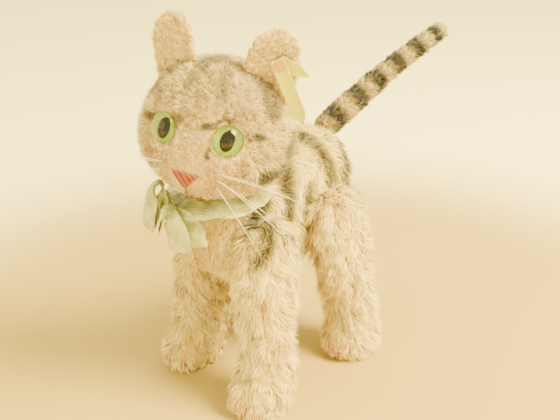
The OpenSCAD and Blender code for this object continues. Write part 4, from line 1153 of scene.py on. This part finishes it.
def make_bow():
    """The bow below the chin: a long and a short loop, two hanging ends and the knot."""
    bow_piece("bow_long_loop_satin", "bow_long_loop",
              [(-0.8, 0, 0.5), (-3, 0.4, 5), (-5.6, 0, 7.6), (-8.6, -0.8, 4), (-10.8, -1, -2),
               (-11.8, -1, -8.2), (-10.6, 0.6, -6.6), (-8.2, 1.8, -1), (-4.6, 2.2, 3.5), (-0.8, 1, 0.4)],
              [(0.6, -0.4, 0.7), (0.7, -0.4, 0.6), (0.9, -0.3, 0.3), (0.95, -0.3, 0.1), (0.95, -0.3, 0),
               (0.95, -0.28, -0.1), (0.95, -0.3, 0), (0.9, -0.3, 0.2), (0.7, -0.4, 0.6), (0.6, -0.4, 0.7)],
              (0.5, 0.75, 0.95, 1, 1, 1, 1, 0.95, 0.75, 0.5), 44, 1.3, 3)
    bow_piece("bow_short_loop_satin", "bow_short_loop",
              [(-0.6, -1, 0), (-2.2, -1.8, -1.5), (-3.5, -2.0, -4.5), (-3.7, -1.8, -6.8), (-2.8, -1.5, -4.5),
               (-1.7, -1.3, -1.5), (-0.5, -0.8, 0)],
              [(0.66, -0.75, 0)] * 7, (0.5, 0.75, 0.9, 0.9, 0.9, 0.75, 0.5), 28, 0.2, 4)
    bow_piece("bow_long_end_satin", "bow_long_end",
              [(0.5, -0.8, 0), (2.5, -2.4, -1.5), (4.0, -2.2, -4.5), (4.3, -1.4, -8), (4.6, -1.6, -12.5)],
              [(0.5, 0, 0.9), (0.9, 0.1, 0.3), (1, 0.15, 0), (1, 0.12, 0), (1, 0.1, 0)],
              (0.5, 0.8, 1, 1, 1), 30, 0.6, 6)
    bow_piece("bow_short_end_satin", "bow_short_end",
              [(1.0, 0.8, -0.4), (4, 1.2, -2.5), (6.4, 1.8, -6), (7.2, 2.2, -9.5), (7.6, 2.4, -12)],
              [(0.5, 0, 0.9), (0.8, 0.4, 0.3), (0.85, 0.5, 0), (0.85, 0.5, 0), (0.85, 0.5, 0)],
              (0.5, 0.8, 1, 1, 1), 26, 0.4, 7)
    # the knot: one turn of ribbon drawn tight over the crossing, with its folds
    points, faces = [], []
    rings, sides = 16, 28
    for i in range(rings + 1):
        t = i / rings
        for j in range(sides):
            a = 2 * math.pi * j / sides
            fold = 1 + 0.09 * math.sin(3 * a + 5 * t) + 0.05 * math.sin(7 * a - 4 * t)
            wide = (3.0 * (0.72 + 0.28 * math.sin(math.pi * t))) * fold * MM
            ahead = (t - 0.5) * 4.6 * MM * 0.9 - 0.4 * MM
            points.append(KNOT + np.array([wide * math.cos(a), ahead, wide * 0.86 * math.sin(a)]))
    for i in range(rings):
        for j in range(sides):
            a, b = i * sides + j, i * sides + (j + 1) % sides
            faces.append((a, a + sides, b + sides, b))
    faces.append(tuple(range(sides)))
    faces.append(tuple(rings * sides + j for j in range(sides - 1, -1, -1)))
    mesh = mesh_of("bow_knot_satin", points, faces)
    knot = new_object("bow_knot_satin", mesh, RIBBON_SATIN, "torso")
    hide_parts("bow_knot")


def make_label():
    """A blank yellow tape folded over the stud: the front layer hangs to a point, the back slants away."""
    points = corners("ear_label")
    centre = points.mean(0)
    _, _, axes = np.linalg.svd(points - centre, full_matrices=False)
    long_way = axes[0] * -np.sign(axes[0] @ UP)
    thin = axes[2] * np.sign(axes[2] @ HEAD_FORWARD)
    across = np.cross(long_way, thin)
    run = (points - centre) @ long_way
    top, length = centre + long_way * run.min(), run.max() - run.min()
    width = 4.8 * MM
    middles = [top + long_way * length * t + thin * (0.3 + 0.9 * math.sin(2.2 * t + 0.3)) * MM
               for t in np.linspace(0, 1, 22)]
    widths = [width * (1 if t < 0.84 else max(1 - (t - 0.84) / 0.16, 0.12)) for t in np.linspace(0, 1, 22)]
    strip("ear_label_tape", middles, [across] * 22, widths, LABEL_TAPE, "head", "ear_label",
          cup=0.2 * MM)
    slant = unit(long_way * 0.75 - across * 0.66 * np.sign(across @ HEAD_LEFT) * -1)
    start = top + long_way * 1.2 * MM - thin * 0.5 * MM
    middles = [start + slant * 11 * MM * t - thin * (0.2 + 0.5 * t) * MM for t in np.linspace(0, 1, 14)]
    widths = [width * (1 if t < 0.6 else max(1 - (t - 0.6) / 0.4, 0.12)) for t in np.linspace(0, 1, 14)]
    strip("ear_label_back_tape", middles, [np.cross(slant, thin)] * 14, widths, LABEL_TAPE, "head",
          "ear_label", cup=0.15 * MM)


# ---------------------------------------------------------------- stage, light and camera

def stage_floor():
    """A wide pale floor, darker near the toy: painted shade round where it stands."""
    made, tree, principled = shader("pale_board_with_painted_shade", Roughness=0.75, Specular_IOR_Level=0.25)
    place = add(tree, "TexCoord").outputs["Object"]
    distance = add(tree, "VectorMath", {"operation": "LENGTH"}, n0=place).outputs["Value"]
    far = add(tree, "MapRange", {"From Min": 0.14, "From Max": 0.3, "interpolation_type": "SMOOTHSTEP"},
              Value=distance).outputs["Result"]
    # painted shade: the floor runs from the deep colour near the toy to the pale one beyond 0.3 m
    tree.links.new(mixed(tree, far, "#b59a50", "#fff2bc"), principled.inputs["Base Color"])
    half = 3.0
    mesh = mesh_of("pale_floor", [(-half, -half, 0), (half, -half, 0), (half, half, 0), (-half, half, 0)],
                   [(0, 1, 2, 3)], smooth=False)
    mesh.materials.append(made)
    floor = bpy.data.objects.new("pale_floor", mesh)
    bpy.context.scene.collection.objects.link(floor)
    floor.location.z = -0.2 * MM


VIEW_AZIMUTH, VIEW_ELEVATION = 41.2, 21.6
CAMERA_FROM_NECK = np.array([196.9, -190.4, 98.3]) * MM
LENS = 54.0


def view_back():
    """From the toy towards the camera."""
    a, e = math.radians(VIEW_AZIMUTH), math.radians(VIEW_ELEVATION)
    return Vector((math.sin(a) * math.cos(e), -math.cos(a) * math.cos(e), math.sin(e)))


def set_camera():
    camera = bpy.data.objects.new("camera", bpy.data.cameras.new("camera"))
    bpy.context.scene.collection.objects.link(camera)
    camera.data.lens, camera.data.sensor_width = LENS, 36.0
    camera.data.clip_start, camera.data.clip_end = 0.01, 20
    camera.location = NECK + CAMERA_FROM_NECK
    camera.rotation_mode = "QUATERNION"
    camera.rotation_quaternion = (-view_back()).to_track_quat("-Z", "Y")
    bpy.context.scene.camera = camera


def area_light(name, place, size, power, colour):
    lamp = bpy.data.lights.new(name, "AREA")
    lamp.shape, lamp.size = "DISK", size
    lamp.energy, lamp.color = power, linear(colour)[:3]
    made = bpy.data.objects.new(name, lamp)
    bpy.context.scene.collection.objects.link(made)
    made.location = place
    made.rotation_mode = "QUATERNION"
    made.rotation_quaternion = (Vector((0, 0, 0.07)) - made.location).to_track_quat("-Z", "Y")


def set_lights():
    """Soft warm daylight from the upper right of the view, and a pale room all round."""
    a = math.radians(VIEW_AZIMUTH)
    right = Vector((math.cos(a), math.sin(a), 0))
    near = Vector((math.sin(a), -math.cos(a), 0))
    area_light("window", right * 0.6 + near * 0.25 + Vector((0, 0, 0.75)), 0.5, 62, "#ffeb9c")
    area_light("room_bounce", -right * 0.9 + near * 0.7 + Vector((0, 0, 0.5)), 1.0, 8, "#ffeba0")
    world = bpy.data.worlds.new("pale_room")
    bpy.context.scene.world = world
    world.use_nodes = True
    sky = world.node_tree.nodes["Background"]
    sky.inputs["Color"].default_value = linear("#fff1a6")
    sky.inputs["Strength"].default_value = 3.0


# ---------------------------------------------------------------- the whole toy

finish_cad_nodes()
for side in (1, -1):
    make_eye(side)
    make_bristles(side)
make_nose()
make_mouth()
make_collar()
make_bow()
make_label()
grow_all_pile()
stage_floor()
set_lights()
set_camera()
